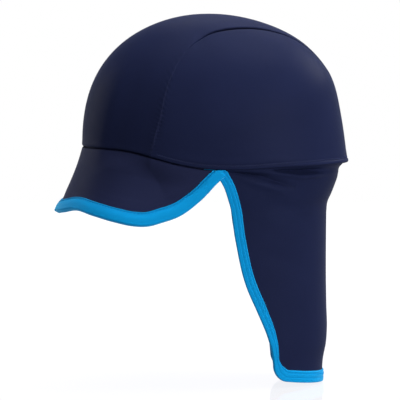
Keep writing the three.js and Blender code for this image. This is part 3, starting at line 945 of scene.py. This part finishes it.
    def back_allowance(self) -> bpy.types.Object:
        """The trimmed edges behind the seam down the middle of the back.

        Returns:
            The mesh object.
        """
        low = self.rim_rise(np.array([180.0]))[0] + 1.0
        rise = np.linspace(180 - self.tip_angle, low, 60)[:, None]
        across, radius = np.linspace(-self.allowance_half, self.allowance_half, 11), 0.09
        direction = raised(180 + np.degrees(across / radius)[None, :], rise)
        outer, inner = (self.face(direction, self.cloth + under) for under in self.allowance_faces)
        return cloth_between("crown_back_allowance", outer, inner)

    def hem_stitches(self, side: Side) -> bpy.types.Object:
        """The zig-zag of thread that holds the turned hem, a little above the rim on one side.

        Args:
            side: the crown's side.
        Returns:
            The mesh object.
        """
        bearing = np.arange(64.0, 179.0, 0.62)
        middle, swing, radius = 0.0031, 0.0005, 0.08
        over = middle + swing * zigzag(len(bearing))
        rise = self.rim_rise(bearing) + np.degrees(over / radius)
        ends = self.on_face(mirrored(raised(bearing, rise), side))
        return stitch_row(f"crown_hem_thread_{side.name.lower()}", ends, ends, wide=0.00028)

    def seam_stitches(self, side: Side) -> bpy.types.Object:
        """The zig-zag of fine thread that lies flat over one front seam from the rim to the top.

        Args:
            side: the seam's side.
        Returns:
            The mesh object.
        """
        angle = np.arange(-8.0, 82.0, 0.8)
        swing = 0.0011
        ends = self.on_face(mirrored(self.seam_direction(angle, swing * zigzag(len(angle))), side))
        return stitch_row(f"crown_seam_thread_{side.name.lower()}", ends, ends, wide=0.00016)

    def on_face(self, direction: Array) -> Array:
        """Points on the finished outer face, relief and all."""
        return direction * (self.radius(direction) + self.relief(direction)[0])[..., None]

    def build(self, navy: bpy.types.Material, thread: bpy.types.Material) -> list[bpy.types.Object]:
        """Makes the crown's pieces.

        Args:
            navy: the navy cloth's finish.
            thread: the sewing thread's finish.
        Returns:
            The pieces, the three panels first.
        """
        front = self.front_panel()
        left, right = self.side_panel(Side.LEFT), self.side_panel(Side.RIGHT)
        inside = [self.seam_allowance(Side.LEFT), self.seam_allowance(Side.RIGHT), self.back_allowance()]
        stitches = [self.hem_stitches(side) for side in Side] + [self.seam_stitches(side) for side in Side]
        ride(front, Slot.NAVY, navy, "crown_front_panel")
        ride(left, Slot.NAVY, navy, "crown_side_left")
        ride(right, Slot.NAVY, navy, "crown_side_right")
        for piece in inside:
            ride(piece, Slot.NAVY, navy)
        for piece in stitches:
            ride(piece, Slot.NAVY, thread)
        return [front, left, right, *inside, *stitches]


@dataclass
class Peak:
    """The soft peak: it falls from the rim from ear to ear, and its free edge flares at the front."""

    crown: Crown
    pad: float = 0.0024
    edge: float = 0.0016
    seam_gap: float = 0.0003
    tape_fold: float = 0.0016
    tape_width: float = 0.009
    tape_fullness: Curve = Curve(at=(0, 84, 92, 99), value=(1, 1, 0.94, 0.9))
    taper: float = 0.006
    rim_end: float = 92.5
    cloth_end: float = 95.0
    tape_end: float = 98.7
    end_cut: float = 500.0
    root_fade: float = 0.014
    fold_onset: float = 0.016
    # The edge turned up inside the crown: its end, inset and cloth, and the heights of its two edges.
    tuck_end: float = 84.0
    tuck_inset: float = 0.0026
    tuck_cloth: float = 0.0007
    tuck_reach: tuple[float, float] = (0.004, -0.0045)
    length: Curve = Curve(
        at=(0, 14, 26, 37, 47, 55, 61, 68, 76, 86, 96, 98.5, 101),
        value=(
            0.049, 0.0467, 0.0443, 0.0468, 0.0486, 0.0484, 0.0463,
            0.0406, 0.0336, 0.0212, 0.007, 0.0044, 0.0018,
        ),
    )
    slope: Curve = Curve(
        at=(0, 14, 26, 37, 47, 55, 61, 68, 76, 86, 96),
        value=(67.2, 67.8, 68, 68.3, 70.6, 73.8, 76.6, 79.5, 82, 85, 86),
    )
    flare: Curve = Curve(
        at=(0, 14, 26, 37, 47, 55, 61, 68, 76, 96),
        value=(0.006, 0.0062, 0.0064, 0.0064, 0.0058, 0.0044, 0.0030, 0.0014, 0.0004, 0),
    )
    folds: tuple[Fold, ...] = (
        Fold((-0.0460, -0.0035), (-0.0280, -0.0350), -0.0044, 0.0250, keen=1.1, steep=0.95),
    )

    def rim_frame(self, bearing: Array) -> tuple[Array, Array, Array]:
        """What the peak's root follows.

        Args:
            bearing: degrees round the rim from the front.
        Returns:
            The rim's points, the level way outwards there, and how far the crown sinks at the temple.
        """
        rim = self.crown.rim_point(bearing)
        run = self.crown.rim_point(bearing + 0.5) - self.crown.rim_point(bearing - 0.5)
        outward = unit(np.stack([run[..., 1], -run[..., 0], np.zeros_like(run[..., 0])], axis=-1))
        return rim, outward, self.crown.temple(raised(bearing, self.crown.rim_rise(bearing)))

    def surface(self, bearing: Array, down: Array) -> Array:
        """The peak's middle surface.

        Rim point + outward * (down cos(slope) + flare (s^2 - s) - half the pad), down by down sin(slope),
        with s = down / length. Its root is drawn in where the crown sinks at the temple. Its folds start
        gently under the seam and end before the tape.

        Args:
            bearing: degrees round the rim from the front.
            down: metres down the slope.
        Returns:
            The points.
        """
        place = np.abs(bearing)
        slope = np.radians(self.slope(place))
        rim, outward, root = self.rim_frame(bearing)
        share = down / self.length(place)
        out = down * np.cos(slope) + self.flare(place) * (share * share - share) - self.pad / 2
        out = out - root * (1 - smoothstep(down, 0, self.root_fade))
        drop = self.seam_gap + self.pad / 2 * np.cos(slope) + down * np.sin(slope)
        point = rim + outward * out[..., None]
        point[..., 2] -= drop
        lift = sum(fold.relief(point[..., 1], point[..., 2]) for fold in self.folds)
        lift = lift * smoothstep(down, 0, self.fold_onset) * (1 - smoothstep(share, 0.62, 0.85))
        return point + outward * lift[..., None]

    def cloth(self) -> bpy.types.Object:
        """The padded cloth: full over the pad, thin under the tape and rounded into the rim's seam.

        Returns:
            The mesh object.
        """
        bearing = np.linspace(-self.cloth_end, self.cloth_end, 301)[None, :]
        top = np.maximum(np.abs(bearing) - self.rim_end, 0) / self.end_cut
        bottom = self.length(np.abs(bearing)) - self.tape_fold
        down = top + (bottom - top) * crowded(90, 1.4, 0.4)[:, None]
        middle = self.surface(np.broadcast_to(bearing, down.shape), down)
        normal = grid_normals(middle)
        taped = bottom - self.tape_width
        half = self.pad / 2 + (self.edge - self.pad) / 2 * smoothstep(down - taped, -self.taper, 0.0)
        turned = self.crown.turned_edge(down - top, 0.0005, 0.0011)
        outer = middle + normal * (half - turned)[..., None]
        inner = middle - normal * half[..., None]
        # Painted shade darkens the colour along the seam under the rim.
        painted_shade = 0.8 * bell(down - top, 0.0005)
        return cloth_between("peak_cloth", outer, inner, painted_shade)

    def allowance(self) -> bpy.types.Object:
        """The trimmed edge of the peak's cloth, turned up behind the seam inside the crown.

        Returns:
            The mesh object.
        """
        round_rim = np.linspace(-self.tuck_end, self.tuck_end, 261)
        bearing, over = np.meshgrid(round_rim, np.linspace(*self.tuck_reach, 15))
        rim, outward, root = self.rim_frame(bearing)
        rise = np.array([0.0, 0.0, 1.0]) * over[..., None]
        outer = rim - outward * (root + self.tuck_inset)[..., None] + rise
        inner = outer - outward * self.tuck_cloth
        return cloth_between("peak_seam_allowance", outer, inner)

    def build(self, navy: bpy.types.Material) -> list[bpy.types.Object]:
        """Makes the peak's pieces.

        Args:
            navy: the peak's finish, the navy cloth painted lighter as painted light.
        Returns:
            The turned edge and the padded cloth.
        """
        edge, piece = self.allowance(), self.cloth()
        ride(edge, Slot.NAVY, navy)
        ride(piece, Slot.NAVY, navy, "peak")
        return [edge, piece]

    def edge_path(self, count: int) -> tuple[Array, Array]:
        """Bearing and distance down at the cut edge of the cloth, from right to left."""
        bearing = np.linspace(-self.tape_end, self.tape_end, count)
        return bearing, np.maximum(self.length(np.abs(bearing)) - self.tape_fold, 0.0001)


# Heights at which the flap's width, back and front edge are given.
FLAP_LEVELS = (-0.166, -0.148, -0.138, -0.128, -0.112, -0.096, -0.063, -0.038, -0.023, -0.018, -0.01)


@dataclass
class NeckFlap:
    """The neck flap: one layer that hangs from inside the rim, from ear to ear round the back."""

    crown: Crown
    cloth: float = 0.0012
    clearance: float = 0.0008
    tuck: float = 0.004
    lowest_rim: float = -0.016
    plan_power: float = 2.2
    fold_onset: float = 0.0015
    corner_height: float = -0.1596
    back_height: float = -0.1642
    corner_radius: float = 0.01
    tape_fold: float = 0.0016
    tape_width: float = 0.007
    tape_start: float = 0.0003
    # The tape lies full along the hem and round its corners, and is drawn narrow just above them.
    fullness: Curve = Curve(
        at=(0.0016, 0.004, 0.007, 0.01, 0.012, 0.0145, 0.018, 0.023, 0.03, 0.045, 0.09, 0.15),
        value=(1.22, 1.2, 1.06, 0.83, 0.6, 0.46, 0.52, 0.66, 0.8, 0.95, 0.98, 1.06),
    )
    half: Curve = Curve(
        at=FLAP_LEVELS,
        value=(0.055, 0.0564, 0.0572, 0.058, 0.0595, 0.061, 0.0645, 0.0675, 0.0695, 0.07, 0.0705),
    )
    widest: Curve = Curve(
        at=(-0.166, -0.148, -0.138, -0.128, -0.112, -0.096, -0.063, -0.038, -0.023, -0.01),
        value=(0.012, 0.012, 0.011, 0.01, 0.009, 0.008, 0.005, 0.003, 0.001, 0),
    )
    back: Curve = Curve(
        at=FLAP_LEVELS,
        value=(0.0784, 0.0794, 0.0813, 0.082, 0.0816, 0.0813, 0.0813, 0.0816, 0.082, 0.083, 0.084),
    )
    front: Curve = Curve(
        at=FLAP_LEVELS,
        value=(0.045, 0.0446, 0.0432, 0.0402, 0.0335, 0.0265, 0.0186, 0.0144, 0.0086, 0.005, 0),
    )
    keep: Curve = Curve(
        at=(-0.006, 0, 0.0025, 0.011, 0.02, 0.027, 0.034),
        value=(1, 0.98, 0.78, 0.6, 0.32, 0.06, 0),
    )
    folds: tuple[Fold, ...] = (
        Fold((0.038, -0.0170), (0.0639, -0.0212), 0.0022, 0.0015),
        Fold((0.060, -0.0214), (0.090, -0.0196), 0.0024, 0.0014),
        Fold((0.046, -0.0166), (0.092, -0.0164), -0.0050, 0.0024),
        Fold((0.014, -0.0166), (0.0385, -0.0200), -0.0034, 0.0015),
        Fold((0.033, -0.0192), (0.057, -0.0272), -0.0026, 0.0021),
        Fold((0.024, -0.0226), (0.050, -0.0308), 0.0013, 0.0022),
        Fold((0.040, -0.0340), (0.066, -0.0480), -0.0005, 0.0042),
        Fold((0.026, -0.0400), (0.058, -0.0600), 0.0004, 0.0060),
        Fold((0.034, -0.0700), (0.064, -0.0840), -0.0004, 0.0060),
    )
    heights: Array = field(init=False)
    hanging_front: Array = field(init=False)
    held_front: Array = field(init=False)
    hem_half: float = field(init=False)

    def __post_init__(self) -> None:
        """Works out where both plans reach the front edge at each height, and the hem's length."""
        self.heights = np.linspace(-0.18, 0, 721)
        low, high = np.full(self.heights.shape, 60.0), np.full(self.heights.shape, 170.0)
        goal = self.front(self.heights)
        self.hanging_front, self.held_front = (
            zero_between(lambda bearing: plan(bearing, self.heights)[..., 1] - goal, low, high)
            for plan in (self.hanging_plan, self.held_plan)
        )
        hem = self.at(np.linspace(0, 1, 200), np.full(200, self.corner_height))
        self.hem_half = float(np.linalg.norm(np.diff(hem, axis=0), axis=1).sum())

    def hanging_plan(self, bearing: Array, z: Array) -> Array:
        """Plan of the hanging cloth at a height: a superellipse about its widest point.

        radius = ((|sin b| / half)^p + (|cos b| / length)^p)^(-1/p).

        Args:
            bearing: degrees from the front.
            z: heights.
        Returns:
            X and Y.
        """
        b = np.radians(bearing)
        across = np.abs(np.sin(b)) / self.half(z)
        along = np.abs(np.cos(b)) / (self.back(z) - self.widest(z))
        radius = (across**self.plan_power + along**self.plan_power) ** (-1 / self.plan_power)
        return np.stack([radius * np.sin(b), self.widest(z) - radius * np.cos(b)], axis=-1)

    def held_plan(self, bearing: Array, z: Array) -> Array:
        """Plan of the cloth held inside the crown: the crown's own section at a height, taken in.

        Args:
            bearing: degrees from the front.
            z: heights, read as the lowest rim's below it.
        Returns:
            X and Y.
        """
        level = np.maximum(z, self.lowest_rim)
        inset = self.crown.cloth + self.clearance + self.cloth / 2
        reach = np.full(np.broadcast(bearing, z).shape, self.crown.half_width)
        for _ in range(4):
            point = self.crown.face(raised(bearing, np.degrees(np.arctan2(level, reach))), inset)
            reach = np.hypot(point[..., 0], point[..., 1])
        return point[..., :2]

    def at(self, share: Array, z: Array) -> Array:
        """The flap's middle surface.

        The hanging plan, drawn to the held plan by how much of the crown's fullness is kept at that depth
        under the rim, plus the pressed folds.

        Args:
            share: 0 at the middle of the back, 1 at the left front edge, -1 at the right one.
            z: heights.
        Returns:
            The points.
        """
        held_end = np.interp(z, self.heights, self.held_front)
        hang_end = np.interp(z, self.heights, self.hanging_front)
        held = self.held_plan(180 - np.abs(share) * (180 - held_end), z)
        hanging = self.hanging_plan(180 - np.abs(share) * (180 - hang_end), z)
        under = self.crown.rim(held[..., 1]) - z
        plan = hanging + (held - hanging) * self.keep(under)[..., None]
        lift = sum(fold.relief(plan[..., 1], z) for fold in self.folds)
        lift = lift * smoothstep(under, 0, self.fold_onset)
        lift = lift * (1 - 0.85 * smoothstep(plan[..., 1], 0.07, 0.081))
        plan = plan + unit(plan) * lift[..., None]
        return np.stack([np.where(share < 0, -1, 1) * plan[..., 0], plan[..., 1], z + 0 * share], axis=-1)

    def surface(self, along: Array, z: Array) -> Array:
        """The same surface by metres along the hem from the middle of the back."""
        return self.at(along / self.hem_half, z)

    def front_share(self, z: Array) -> Array:
        """Share at which the cut cloth ends on the front edge, short of the tape's fold.

        Args:
            z: heights.
        Returns:
            A share just under 1 at each.
        """
        near = 0.98
        last = self.at(np.ones_like(z), z) - self.at(np.full_like(z, near), z)
        run = np.linalg.norm(last, axis=-1) / (1 - near)
        return 1 - self.tape_fold / run

    def hem_height(self, share: Array) -> Array:
        """Height of the hem's fold, which looks level from the side."""
        return self.back_height + (self.corner_height - self.back_height) * share * share

    def hem_cut(self, share: Array) -> Array:
        """Height of the cut cloth above the hem's fold: a quarter round at the front corners.

        Args:
            share: places along the hem, as in at.
        Returns:
            The heights.
        """
        from_front = (1 - np.abs(share)) * self.hem_half
        radius = self.corner_radius - self.tape_fold
        across = np.clip(self.corner_radius - from_front, 0, radius)
        return self.corner_radius - np.sqrt(radius * radius - across * across)

    def cloth_sheet(self) -> bpy.types.Object:
        """The cloth, in columns from inside the crown down to the hem, crowded near the front edges.

        Returns:
            The mesh object.
        """
        part = crowded(240, 1.5, 1.5) * 2 - 1
        edge = part * self.front_share(np.full_like(part, self.corner_height))
        top = self.crown.rim(self.at(part, np.full_like(part, self.lowest_rim))[:, 1]) + self.tuck
        bottom = self.hem_height(edge) + self.hem_cut(edge)
        row = crowded(170, 1.3, 0.3)[:, None]
        z = top + (bottom - top) * row
        share = part * self.front_share(z)
        middle = self.at(share, z)
        lift = grid_normals(middle) * self.cloth / 2
        return cloth_between("neck_flap_cloth", middle + lift, middle - lift)

    def build(self, navy: bpy.types.Material) -> bpy.types.Object:
        """Makes the flap's cloth.

        Args:
            navy: the navy cloth's finish.
        Returns:
            The cloth.
        """
        piece = self.cloth_sheet()
        ride(piece, Slot.NAVY, navy, "neck_flap")
        return piece

    def tape_fullness(self, path: tuple[Array, Array]) -> Array:
        """How wide the tape lies along a path, by height over the hem's fold."""
        return self.fullness(path[1] - self.hem_height(path[0] / self.hem_half))

    def edge_path(self, side_count: int, corner_count: int, hem_count: int) -> tuple[Array, Array]:
        """Metres along the hem and height at the cut edge: down the left, round the hem and up the right.

        Args:
            side_count: stations on a front edge.
            corner_count: stations on a rounded corner.
            hem_count: stations on the hem.
        Returns:
            The two coordinates of the surface.
        """
        corner_top = self.corner_height + self.corner_radius
        start = self.crown.rim(self.front(np.array(self.lowest_rim))) - self.tape_start
        z = np.linspace(start, corner_top, side_count)
        side = np.stack([self.front_share(z) * self.hem_half, z])
        arc, straight = self.corner_radius - self.tape_fold, self.hem_half - self.corner_radius
        turn = np.linspace(0, np.pi / 2, corner_count + 1)[1:]
        a = straight + arc * np.cos(turn)
        corner = np.stack([a, self.hem_height(a / self.hem_half) + self.corner_radius - arc * np.sin(turn)])
        a = np.linspace(straight, -straight, hem_count + 2)[1:-1]
        hem = np.stack([a, self.hem_height(a / self.hem_half) + self.tape_fold])
        left = np.concatenate([side, corner], axis=1)
        right = left[:, ::-1] * np.array([[-1], [1]])
        path = np.concatenate([left, hem, right], axis=1)
        return path[0], path[1]


@dataclass
class Binding:
    """Tape folded over a cloth's cut edge: two wings along the cloth, and a soft round fold past the edge.

    surface gives the middle of the cloth by two coordinates, path its cut edge in them and scale a small
    step of each. keep bounds the second coordinate, and widen scales the wings at each place of the path.
    lift is the outer face's height by distance in from the edge. The fold is an ellipse at fold_power 1,
    and fuller below it.
    """

    name: str
    surface: Callable[[Array, Array], Array]
    path: tuple[Array, Array]
    scale: tuple[float, float]
    wing: float
    cloth_half: float
    fold: float
    lift: Curve
    keep: tuple[float, float]
    widen: Array
    fold_power: float = 0.5
    clearance: float = 0.00008
    inner_fold: float = 0.0004

    def tangents(self, a: Array, b: Array) -> tuple[Array, Array]:
        """The surface's change per unit of each coordinate, by central differences.

        Args:
            a: first coordinates.
            b: second coordinates.
        Returns:
            The changes along the first and along the second.
        """
        da, db = self.scale
        along_a = (self.surface(a + da, b) - self.surface(a - da, b)) / (2 * da)
        along_b = (self.surface(a, b + db) - self.surface(a, b - db)) / (2 * db)
        return along_a, along_b

    def frame(self) -> tuple[Array, Array, Array, Array, Array]:
        """The ways across the edge, and how the coordinates change along them.

        Inward = normal x the edge's run; its coordinates solve the surface's two tangents for it.

        Returns:
            Edge points, unit normals, unit ways inwards and each coordinate's change per metre inwards.
        """
        a, b = self.path
        edge = self.surface(a, b)
        along_a, along_b = self.tangents(a, b)
        normal = unit(np.cross(along_a, along_b))
        flip = np.sign(np.sum(normal[:, :2] * edge[:, :2], axis=1))[:, None]
        normal = normal * flip
        run = unit(np.gradient(edge, axis=0))
        inward = unit(np.cross(normal, run))
        aa, ab, bb = (
            np.sum(first * second, axis=1)
            for first, second in ((along_a, along_a), (along_a, along_b), (along_b, along_b))
        )
        on_a, on_b = np.sum(inward * along_a, axis=1), np.sum(inward * along_b, axis=1)
        spread = aa * bb - ab * ab
        return edge, normal, inward, (on_a * bb - on_b * ab) / spread, (on_b * aa - on_a * ab) / spread

    def place(self, inwards: Array, lift: Array) -> Array:
        """Points at each station by distance in from the edge and lift off the cloth's middle surface.

        Args:
            inwards: one number per point of the section, less than 0 past the edge.
            lift: the same, along the cloth's normal.
        Returns:
            Stations by section points by 3.
        """
        edge, normal, inward, per_a, per_b = self.frame()
        a, b = self.path
        held = np.maximum(inwards, 0)[None, :] * self.widen[:, None]
        travel = per_b[:, None] * held
        room = np.where(travel > 0, self.keep[1], self.keep[0]) - b[:, None]
        share = np.where(np.abs(travel) > 1e-9, np.clip(room / np.where(travel == 0, 1, travel), 0, 1), 1.0)
        at_a = a[:, None] + per_a[:, None] * held * share
        at_b = np.clip(b[:, None] + travel * share, *self.keep)
        turned = unit(np.cross(*self.tangents(at_a, at_b)))
        turned = turned * np.sign(np.sum(turned * normal[:, None, :], axis=-1))[..., None]
        past = np.minimum(inwards, 0)[None, :, None] * inward[:, None, :]
        return self.surface(at_a, at_b) + past + turned * lift[None, :, None]

    def section(self) -> tuple[Array, Array, Array, Array]:
        """The tape's section.

        Outside: the wing follows the lift curve, then half a superellipse closes the fold, sin^fold_power
        by cos^fold_power. Inside: close to the cloth all the way round.

        Returns:
            Distance inwards and lift along the outside line, then both along the inside line.
        """
        wing = self.wing * crowded(28, 1.0, 0.6)[::-1]
        lift = self.lift(wing)
        turn = np.linspace(0, np.pi, 19)[1:-1]
        full = self.lift(np.array(0.0))
        over, past = np.cos(turn), np.sin(turn) ** self.fold_power
        out_w = np.concatenate([wing, -self.fold * past, wing[::-1]])
        out_l = np.concatenate([lift, full * np.sign(over) * np.abs(over) ** self.fold_power, -lift[::-1]])
        near = self.cloth_half + self.clearance
        in_w = np.concatenate([wing, -self.inner_fold * np.sin(turn), wing[::-1]])
        in_l = np.concatenate([np.full(wing.shape, near), near * np.cos(turn), np.full(wing.shape, -near)])
        return out_w, out_l, in_w, in_l

    def thread(
        self, blue: bpy.types.Material, inwards: float, swing: float, pitch: float
    ) -> bpy.types.Object:
        """The zig-zag of thread that holds the tape, along its outer face.

        Args:
            blue: the thread's finish.
            inwards: the zig-zag's middle, from the cloth's edge.
            swing: how far it swings to each side.
            pitch: length of one stitch along the tape.
        Returns:
            The piece.
        """
        lines = np.array([inwards - swing, inwards + swing])
        rows = self.place(lines, self.lift(lines))
        middle = rows.mean(axis=1)
        up = self.place(lines, self.lift(lines) + 0.001).mean(axis=1) - middle
        length = np.concatenate([[0], np.cumsum(np.linalg.norm(np.diff(middle, axis=0), axis=1))])
        at = np.arange(pitch, length[-1] - pitch, pitch)
        near, far, normal = (
            np.stack([np.interp(at, length, line[:, axis]) for axis in range(3)], axis=-1)
            for line in (rows[:, 0], rows[:, 1], up)
        )
        ends = np.where(zigzag(len(at))[:, None] > 0, near, far)
        piece = stitch_row(f"{self.name}_thread", ends, unit(normal), wide=0.0003)
        ride(piece, Slot.BLUE, blue)
        return piece

    def build(self, blue: bpy.types.Material, node: str, width: float) -> bpy.types.Object:
        """Makes the tape.

        Args:
            blue: the tape's finish.
            node: the CAD node that it stands for.
            width: the flat tape's width; not used.
        Returns:
            The piece.
        """
        out_w, out_l, in_w, in_l = self.section()
        outer, inner = self.place(out_w, out_l), self.place(in_w, in_l)
        # Painted shade darkens the tape's colour where its face dips into a groove.
        step = 0.0006
        on_wing = out_w.clip(0)
        dip = self.lift(on_wing + step) + self.lift((out_w - step).clip(0)) - 2 * self.lift(on_wing)
        low = np.where((out_w > 0.0003) & (out_w < self.wing - 0.0004), np.clip(dip / step, 0, 1), 0)
        painted_shade = np.broadcast_to(0.6 * low, outer.shape[:2])
        piece = cloth_between(self.name, outer, inner, painted_shade)
        ride(piece, Slot.BLUE, blue, node)
        length = float(np.linalg.norm(np.diff(self.surface(*self.path), axis=0), axis=1).sum())
        LOG.info("%s: %.0f mm of tape", self.name, length * 1000)
        return piece


@dataclass(frozen=True)
class Softbox:
    """A rectangular soft light that faces the cap: its place, its width and height, and its watts."""

    name: str
    place: tuple[float, float, float]
    size: tuple[float, float]
    power: float

    def build(self) -> None:
        """Hangs the light."""
        data = bpy.data.lights.new(self.name, "AREA")
        data.shape = "RECTANGLE"
        data.size, data.size_y = self.size
        data.energy = self.power
        light = bpy.data.objects.new(self.name, data)
        light.location = self.place
        aim = np.array(self.place) / np.linalg.norm(self.place)
        light.rotation_euler = (math.acos(aim[2]), 0, math.atan2(aim[1], aim[0]) + math.pi / 2)
        bpy.context.scene.collection.objects.link(light)


SOFTBOXES = (
    Softbox("top_softbox", (0.2, 0.3, 2.2), (1.6, 1.6), 30),
    Softbox("top_rear_softbox", (0.1, 0.9, 2.1), (1.0, 1.0), 34),
    Softbox("top_front_softbox", (0.1, -0.7, 2.1), (1.0, 1.0), 19),
    Softbox("top_far_softbox", (-1.4, 0.2, 1.9), (1.6, 1.6), 21.5),
    Softbox("backdrop_glow", (-2.4, 0, 0.5), (4.5, 2.6), 11),
    Softbox("rear_far_softbox", (-1.2, 1.5, 1.1), (0.8, 0.8), 21),
    Softbox("rear_camera_softbox", (1.3, 1.9, 0.2), (1.0, 1.0), 9.5),
    Softbox("camera_softbox", (1.7, 1.5, 0.4), (1.2, 1.2), 38),
    Softbox("camera_fill", (2.4, 0.4, -0.1), (1.4, 0.6), 3),
    Softbox("brow_strip", (-1.2, -1.8, 0.3), (0.9, 1.6), 17),
)


@dataclass(frozen=True)
class Studio:
    """The camera at the photograph's angle, the pale floor and the soft lights."""

    look: tuple[float, float, float] = (0.0, -0.0051, -0.0397)
    elevation: float = 3.0
    distance: float = 2.5
    view_width: float = 0.276
    sensor: float = 36.0
    floor_drop: float = 0.0006
    floor_albedo: float = 0.04
    floor_roughness: float = 0.06
    floor_ior: float = 1.03
    floor_glow: float = 0.88
    floor_bounce: float = 0.5
    surround_light: float = 0.01
    horizon_height: float = 0.15
    horizon_glow: float = 0.3

    def camera(self) -> None:
        """Places the camera square to the cap's left side, a little above the level."""
        data = bpy.data.cameras.new("camera")
        data.sensor_width = self.sensor
        data.lens = self.sensor * self.distance / self.view_width
        data.clip_start, data.clip_end = 0.1, 50
        camera = bpy.data.objects.new("camera", data)
        lift = math.radians(self.elevation)
        look = np.array(self.look)
        camera.location = look + self.distance * np.array([math.cos(lift), 0, math.sin(lift)])
        camera.rotation_euler = (math.radians(90) - lift, 0, math.radians(90))
        bpy.context.scene.collection.objects.link(camera)
        bpy.context.scene.camera = camera

    def floor(self, height: float) -> None:
        """A wide pale floor just under the hem.

        Args:
            height: the floor's height.
        """
        back, side, near = -2.3, 6.0, 3.0
        corner = np.array([[back, -side], [near, -side], [near, side], [back, side]])
        points = np.column_stack([corner, np.full(4, height)])
        floor = mesh_piece("floor", points, np.array([[0, 1, 2, 3]]), corner)
        made = bpy.data.materials.new("pale_floor")
        made.use_nodes = True
        shader = made.node_tree.nodes["Principled BSDF"]
        shader.inputs["Base Color"].default_value = (*(self.floor_albedo,) * 3, 1)
        shader.inputs["Roughness"].default_value = self.floor_roughness
        shader.inputs["IOR"].default_value = self.floor_ior
        shader.inputs["Emission Color"].default_value = (0.97, 0.97, 1, 1)
        n = Nodes(made.node_tree)
        path = n.add("ShaderNodeLightPath")
        seen = n.maths("MULTIPLY", path.outputs["Is Camera Ray"], self.floor_glow - self.floor_bounce)
        n.link(n.maths("ADD", seen, self.floor_bounce), shader.inputs["Emission Strength"])
        floor.data.materials.append(made)
        floor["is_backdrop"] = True

    def world(self) -> None:
        """A white surround, dimmer as light than it is seen, so that the cap keeps its shading.

        Mirror rays that leave nearly level find it bright, so that the floor looks white from every side.
        """
        world = bpy.data.worlds.new("surround")
        bpy.context.scene.world = world
        world.use_nodes = True
        n = Nodes(world.node_tree)
        out = world.node_tree.nodes["World Output"]
        seen = world.node_tree.nodes["Background"]
        seen.inputs["Color"].default_value = (1, 1, 1, 1)
        seen.inputs["Strength"].default_value = 1.0
        given = n.add("ShaderNodeBackground")
        given.inputs["Color"].default_value = (0.93, 0.96, 1, 1)
        path, mix = n.add("ShaderNodeLightPath"), n.add("ShaderNodeMixShader")
        direction = n.add("ShaderNodeSeparateXYZ")
        n.link(n.add("ShaderNodeTexCoord").outputs["Generated"], direction.inputs[0])
        level = n.maths("LESS_THAN", direction.outputs["Z"], self.horizon_height)
        glossy = n.maths("MULTIPLY", level, path.outputs["Is Glossy Ray"])
        band = n.maths("MULTIPLY", glossy, self.horizon_glow)
        n.link(n.maths("ADD", band, self.surround_light), given.inputs["Strength"])
        n.link(path.outputs["Is Camera Ray"], mix.inputs["Fac"])
        n.link(given.outputs[0], mix.inputs[1])
        n.link(seen.outputs[0], mix.inputs[2])
        n.link(mix.outputs[0], out.inputs["Surface"])

    def build(self, lowest: float) -> None:
        """Sets the whole studio up.

        Args:
            lowest: height of the cap's lowest point.
        """
        self.camera()
        self.floor(lowest - self.floor_drop)
        self.world()
        for softbox in SOFTBOXES:
            softbox.build()
        view = bpy.context.scene.view_settings
        view.view_transform = "Standard"
        view.look = "None"


def main() -> None:
    """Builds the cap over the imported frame, then the studio."""
    logging.basicConfig(level=logging.INFO, format="%(name)s: %(message)s")
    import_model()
    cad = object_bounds()
    knit = knit_group()
    navy, blue = NAVY.material(knit), BLUE.material(knit)
    crown = Crown()
    report(crown.build(navy, THREAD.material(knit)))
    peak = Peak(crown)
    report(peak.build(NAVY_PAINTED_LIGHTER.material(knit)))
    flap = NeckFlap(crown)
    report([flap.build(navy)])
    peak_edge, flap_edge = peak.edge_path(380), flap.edge_path(140, 22, 220)
    peak_tape = Binding(
        name="peak_tape",
        surface=peak.surface,
        path=peak_edge,
        scale=(0.3, 0.0004),
        wing=peak.tape_width - peak.tape_fold,
        cloth_half=peak.edge / 2,
        fold=peak.tape_fold,
        lift=Curve(
            at=(0, 0.0025, 0.0045, 0.0057, 0.0062, 0.0065, 0.0069, 0.0072, 0.0074),
            value=(0.0024, 0.0026, 0.00235, 0.00195, 0.0016, 0.0016, 0.00185, 0.0016, 0.0009),
        ),
        keep=(0.0002, 1.0),
        widen=peak.tape_fullness(np.abs(peak_edge[0])),
    )
    tape = peak_tape.build(blue, "peak_binding", 0.019)
    report([tape, peak_tape.thread(blue, inwards=0.0059, swing=0.0005, pitch=0.00125)])
    flap_tape = Binding(
        name="flap_tape",
        surface=flap.surface,
        path=flap_edge,
        scale=(0.0004, 0.0004),
        wing=flap.tape_width - flap.tape_fold,
        cloth_half=flap.cloth / 2,
        fold=flap.tape_fold,
        lift=Curve(
            at=(0, 0.0008, 0.0014, 0.002, 0.0028, 0.0034, 0.004, 0.0046, 0.0051, 0.0054),
            value=(0.0017, 0.00175, 0.00158, 0.00172, 0.00178, 0.0017, 0.00145, 0.00158, 0.0014, 0.0007),
        ),
        keep=(-1.0, flap.lowest_rim + 0.0002),
        widen=flap.tape_fullness(flap_edge),
    )
    tape = flap_tape.build(blue, "flap_binding", 0.015)
    report([tape, flap_tape.thread(blue, inwards=0.0032, swing=0.0009, pitch=0.0014)])
    Studio().build(cad[0][2])
    LOG.info("sizes written")


if __name__ == "__main__":
    main()
